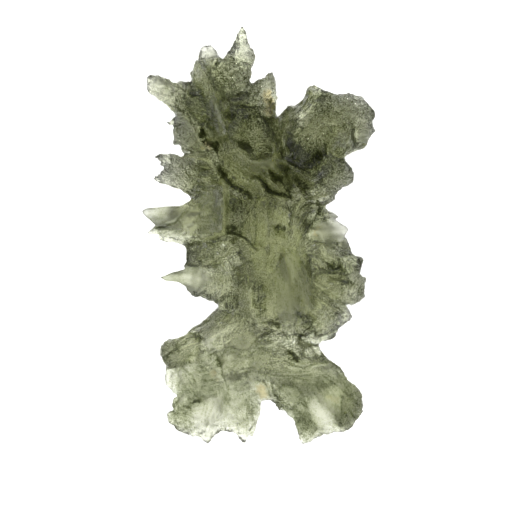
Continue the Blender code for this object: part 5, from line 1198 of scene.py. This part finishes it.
# How far each point lies sunk in the skin at three sizes, crease, edge and pit: the glass is
# coloured darker in these hollows and paler where the skin stands out, as painted shade and painted
# highlight.
record(stone, "crease", np.clip(0.5 + ((fine - places) * normals).sum(axis=1) / crease_depth, 0, 1))
record(stone, "edge", np.clip(0.5 + ((middling - fine) * normals).sum(axis=1) / edge_depth, 0, 1))
record(stone, "pit", np.clip(0.5 + ((broad - middling) * normals).sum(axis=1) / pit_depth, 0, 1))
above, up, down, off_ground = facing(places, normals)
sheet = places + np.array([table_shift, 0.0, 0.0])
for axis in range(2):
    sheet[:, axis] += (0.6 * noisy(places, 1.1, (9 * axis, 0, 0))
                       + 0.3 * noisy(places, 0.4, (0, 9 * axis, 1)))
upper_face = np.clip(above + 1.2, 0, 1) * np.clip(normals[:, 2] * 2 + 0.8, 0, 1)
# The feet, up to feet_height above the floor, are tinted darker where they lie on the glowing
# floor: painted shade.
feet = np.clip(1 - places[:, 2] / feet_height, 0, 1)
record(stone, "deep", painted(sheet, deep_tint_and_shade_places) + feet_shade * feet)
record(stone, "dark", painted(sheet, dark_places) * upper_face)
record(stone, "clear", painted(sheet, clear_places))
record(stone, "stain", painted(sheet, stained_places) * upper_face)
fine_sheet = places + np.array([table_shift, 0.0, 0.0])
for axis in range(2):
    fine_sheet[:, axis] += 0.1 * noisy(places, 0.35, (5 * axis, 2, 0))
# The drawn crests are painted paler and the creases darker: painted highlight and painted shade.
record(stone, "crest", np.clip(4 * drawn(fine_sheet, crests), 0, 1) * upper_face)
record(stone, "cleft", np.clip(3 * drawn(fine_sheet, creases), 0, 1) * upper_face)
ragged = fine_sheet.copy()
for axis in range(2):
    ragged[:, axis] += (0.2 * noisy(places, 0.3, (2, 9 * axis, 1))
                        + 0.2 * noisy(places, 0.8, (6, axis, 3)))
record(stone, "slit", lined(ragged, slits) * upper_face)
# Pale lines along the blade edges: painted highlights.
record(stone, "pale", lined(fine_sheet, edge_highlights) * upper_face)
lobes = 0.5 * np.clip((lobes_from - sheet[:, 1]) / 2, 0, 1)
record(stone, "calm", np.clip(
    painted(sheet, calm_places) + painted(sheet, still_places) + lobes, 0, 1))
record(stone, "glitter", painted(fine_sheet, glitter_places) * upper_face)
record(stone, "grain", along_the_flow(places))
# A dark line along the stone's outline: painted shade.
record(stone, "rim", drawn(
    places + np.array([table_shift, 0.0, 0.0]), [(edge_line + edge_line[:1], rim_width, 1.0)]))
record(stone, "coarse", np.clip(
    1.3 * painted(sheet, coarse_places) - painted(sheet, calm_places), 0, 1))


class Reading:
    """A value that changes over a skin. Arithmetic on it adds Math nodes to the skin's material."""

    def __init__(self, tree, socket):
        self.tree = tree
        self.socket = socket

    def made(self, kind, settings, sockets, output=0):
        """A node of one type: its settings first, then its sockets' values or links."""
        node = self.tree.nodes.new(kind)
        for name, setting in settings.items():
            if name == "stops":
                stops = node.color_ramp.elements
                for _ in setting[2:]:
                    stops.new(1.0)
                for stop, (at, colour) in zip(stops, setting):
                    stop.position = at
                    stop.color = colour
            else:
                setattr(node, name, setting)
        for name, value in sockets.items():
            if isinstance(value, Reading):
                self.tree.links.new(value.socket, node.inputs[name])
            else:
                node.inputs[name].default_value = value
        return Reading(self.tree, node.outputs[output])

    def reckoned(self, operation, first, second, clamp=False):
        settings = {"operation": operation, "use_clamp": clamp}
        return self.made("ShaderNodeMath", settings, {0: first, 1: second})

    def __add__(self, other):
        return self.reckoned("ADD", self, other)

    def __sub__(self, other):
        return self.reckoned("SUBTRACT", self, other)

    def __rsub__(self, other):
        return self.reckoned("SUBTRACT", other, self)

    def __mul__(self, other):
        return self.reckoned("MULTIPLY", self, other)

    __radd__ = __add__
    __rmul__ = __mul__

    def __abs__(self):
        return self.reckoned("ABSOLUTE", self, 0.0)

    def held(self):
        """The value kept between 0 and 1."""
        return self.reckoned("ADD", self, 0.0, clamp=True)

    def blend(self, first, second):
        """From the first colour to the second as this value goes from 0 to 1."""
        node = self.tree.nodes.new("ShaderNodeMix")
        node.data_type = "RGBA"
        self.tree.links.new(self.socket, node.inputs["Factor"])
        for socket, value in ((node.inputs[6], first), (node.inputs[7], second)):
            if isinstance(value, Reading):
                self.tree.links.new(value.socket, socket)
            else:
                socket.default_value = value
        return Reading(self.tree, node.outputs[2])


def kept(tree, name, output=2):
    """What is kept on the skin's points: a number, or with output 1 a place."""
    return Reading(tree, None).made("ShaderNodeAttribute", {"attribute_name": name}, {}, output)


glass = bpy.data.materials.new("moldavite glass")
glass.use_nodes = True
tree = glass.node_tree
shader = tree.nodes["Principled BSDF"]
place = Reading(tree, None).made("ShaderNodeTexCoord", {}, {}, 3)
crinkles = place.made(
    "ShaderNodeTexNoise", {},
    {"Vector": place, "Scale": wrinkle_scale, "Detail": 4.0, "Roughness": 0.65,
     "Distortion": 0.4})
wrinkle = 1 - 2 * abs(2 * crinkles - 1)
grain = kept(tree, "grain", 1)
grain = grain.made(
    "ShaderNodeVectorMath", {"operation": "MULTIPLY"}, {0: grain, 1: (0.16, 1.0, 0.4)})
streaks = grain.made(
    "ShaderNodeTexNoise", {},
    {"Vector": grain, "Scale": 6.0, "Detail": 4.0, "Roughness": 0.7, "Distortion": 0.3})
streak = 1 - 2 * abs(2 * streaks - 1)
specks = place.made(
    "ShaderNodeTexNoise", {},
    {"Vector": place, "Scale": speck_scale, "Detail": 2.0, "Roughness": 0.6})
clouds = place.made(
    "ShaderNodeTexNoise", {},
    {"Vector": place, "Scale": cloud_scale, "Detail": 3.0, "Roughness": 0.6})
crease, edge, pit = kept(tree, "crease"), kept(tree, "edge"), kept(tree, "pit")
dark, clear, stain = kept(tree, "dark"), kept(tree, "clear"), kept(tree, "stain")
coarse, crest, cleft = kept(tree, "coarse"), kept(tree, "crest"), kept(tree, "cleft")
rim, deep, calm = kept(tree, "rim"), kept(tree, "deep"), kept(tree, "calm")
slit, glitter, pale = kept(tree, "slit"), kept(tree, "glitter"), kept(tree, "pale")
# Painted shade and highlight: darker in creases, hollows, pits and clefts and along the outline,
# paler on crests and blade edges.
shade = 0.3 * (crease - 0.45) + 0.3 * (edge - 0.5) + 0.25 * (pit - 0.5)
shade = shade + 0.3 * cleft - 0.22 * crest - 0.34 * pale + 0.15 * rim
grit = (0.32 * (wrinkle - 0.3) + 3.0 * (specks - 0.5)) * (1 - 0.6 * calm) * (0.9 + 0.5 * coarse)
shade = shade - grit - (0.3 + 0.4 * coarse) * (1 - 0.3 * calm) * (streak - 0.3)
shade = shade + 0.3 * (clouds - 0.5)
# The dark spots and slits are painted shade in the pits and slots; deep adds the glass's deeper
# tint together with painted shade in the hollows and on the feet.
holes = dark + slit * (0.2 + 0.6 * streak + 0.3 * wrinkle)
shade = 0.45 + shade + 0.36 * deep + 0.45 * holes - 0.4 * clear
# Painted glints: pale specks where the skin is splintered.
shade = (shade - 1.4 * glitter * (4 * specks - 1.9 + 0.5 * wrinkle).held()).held()
tint = shade.made(
    "ShaderNodeValToRGB",
    {"stops": [
        (0.0, (0.95, 0.95, 0.94, 1)), (0.3, (0.56, 0.58, 0.455, 1)),
        (0.65, (0.17, 0.19, 0.10, 1)), (0.85, (0.04, 0.048, 0.015, 1)),
        (1.0, (0.004, 0.005, 0.001, 1))]},
    {"Fac": shade})
tint = (stain * (0.8 + wrinkle * 0.4)).held().blend(tint, (0.9, 0.72, 0.4, 1.0))
relief = (0.3 + 1.0 * coarse + 3.0 * glitter) * (1 - 0.5 * calm) * (1 - 0.8 * clear)
relief = relief * (0.7 * wrinkle + 0.7 * streak + 0.4 * specks)
bump = place.made(
    "ShaderNodeBump", {}, {"Strength": 1.0, "Distance": 0.00004, "Height": relief})
frost = (0.18 - 0.08 * coarse - 0.1 * glitter + 0.15 * clear + 0.28 * calm).held()
tree.links.new(tint.socket, shader.inputs["Base Color"])
tree.links.new(bump.socket, shader.inputs["Normal"])
tree.links.new(frost.socket, shader.inputs["Roughness"])
shader.inputs["IOR"].default_value = 1.49
shader.inputs["Transmission Weight"].default_value = 1.0
absorption = tree.nodes.new("ShaderNodeVolumeAbsorption")
absorption.inputs["Color"].default_value = (0.58, 0.6, 0.36, 1.0)
absorption.inputs["Density"].default_value = 420.0
tree.links.new(absorption.outputs["Volume"], tree.nodes["Material Output"].inputs["Volume"])
stone.data.materials.clear()
stone.data.materials.append(glass)
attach(stone, "root")
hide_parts("moldavite")


# The stage: a glowing white floor under the stone, as on a light table, soft light from all round
# and a stronger lamp at the upper left. The camera looks straight down.
floor_shape = bmesh.new()
bmesh.ops.create_grid(floor_shape, x_segments=1, y_segments=1, size=1.5)
floor = linked("floor", floor_shape)
paper = bpy.data.materials.new("white paper")
paper.use_nodes = True
paper_shader = paper.node_tree.nodes["Principled BSDF"]
paper_shader.inputs["Base Color"].default_value = (0.9, 0.9, 0.9, 1.0)
paper_shader.inputs["Roughness"].default_value = 0.9
paper_shader.inputs["Specular IOR Level"].default_value = 0.0
paper_shader.inputs["Emission Color"].default_value = (1.0, 1.0, 1.0, 1.0)
paper_shader.inputs["Emission Strength"].default_value = 1.05
floor.data.materials.append(paper)

scene = bpy.context.scene
sky = bpy.data.worlds.new("soft light")
sky.use_nodes = True
sky.node_tree.nodes["Background"].inputs["Color"].default_value = (0.98, 1.0, 0.95, 1.0)
sky.node_tree.nodes["Background"].inputs["Strength"].default_value = 0.3
scene.world = sky
for name, azimuth, elevation, strength, breadth in (
        ("main", 130, 42, 1.2, 7), ("left", -140, 45, 0.5, 40), ("right", 45, 45, 0.5, 40),
        ("low", -50, 45, 0.5, 40)):
    lamp = bpy.data.lights.new(name, "SUN")
    lamp.energy = strength
    lamp.color = (0.98, 1.0, 0.92)
    lamp.angle = math.radians(breadth)
    holder = bpy.data.objects.new(name, lamp)
    scene.collection.objects.link(holder)
    holder.rotation_euler = (math.radians(90 - elevation), 0, math.radians(azimuth + 90))

camera = bpy.data.cameras.new("camera")
eye = bpy.data.objects.new("camera", camera)
scene.collection.objects.link(eye)
eye_height, frame_width, stone_height = 0.4, 0.0441, 0.004
eye.location = (-0.29 * mm, -1.73 * mm, eye_height)
camera.angle = 2 * math.atan(frame_width / 2 / (eye_height - stone_height))
camera.clip_start, camera.clip_end = 0.01, 10.0
scene.camera = eye
scene.view_settings.view_transform = "Standard"
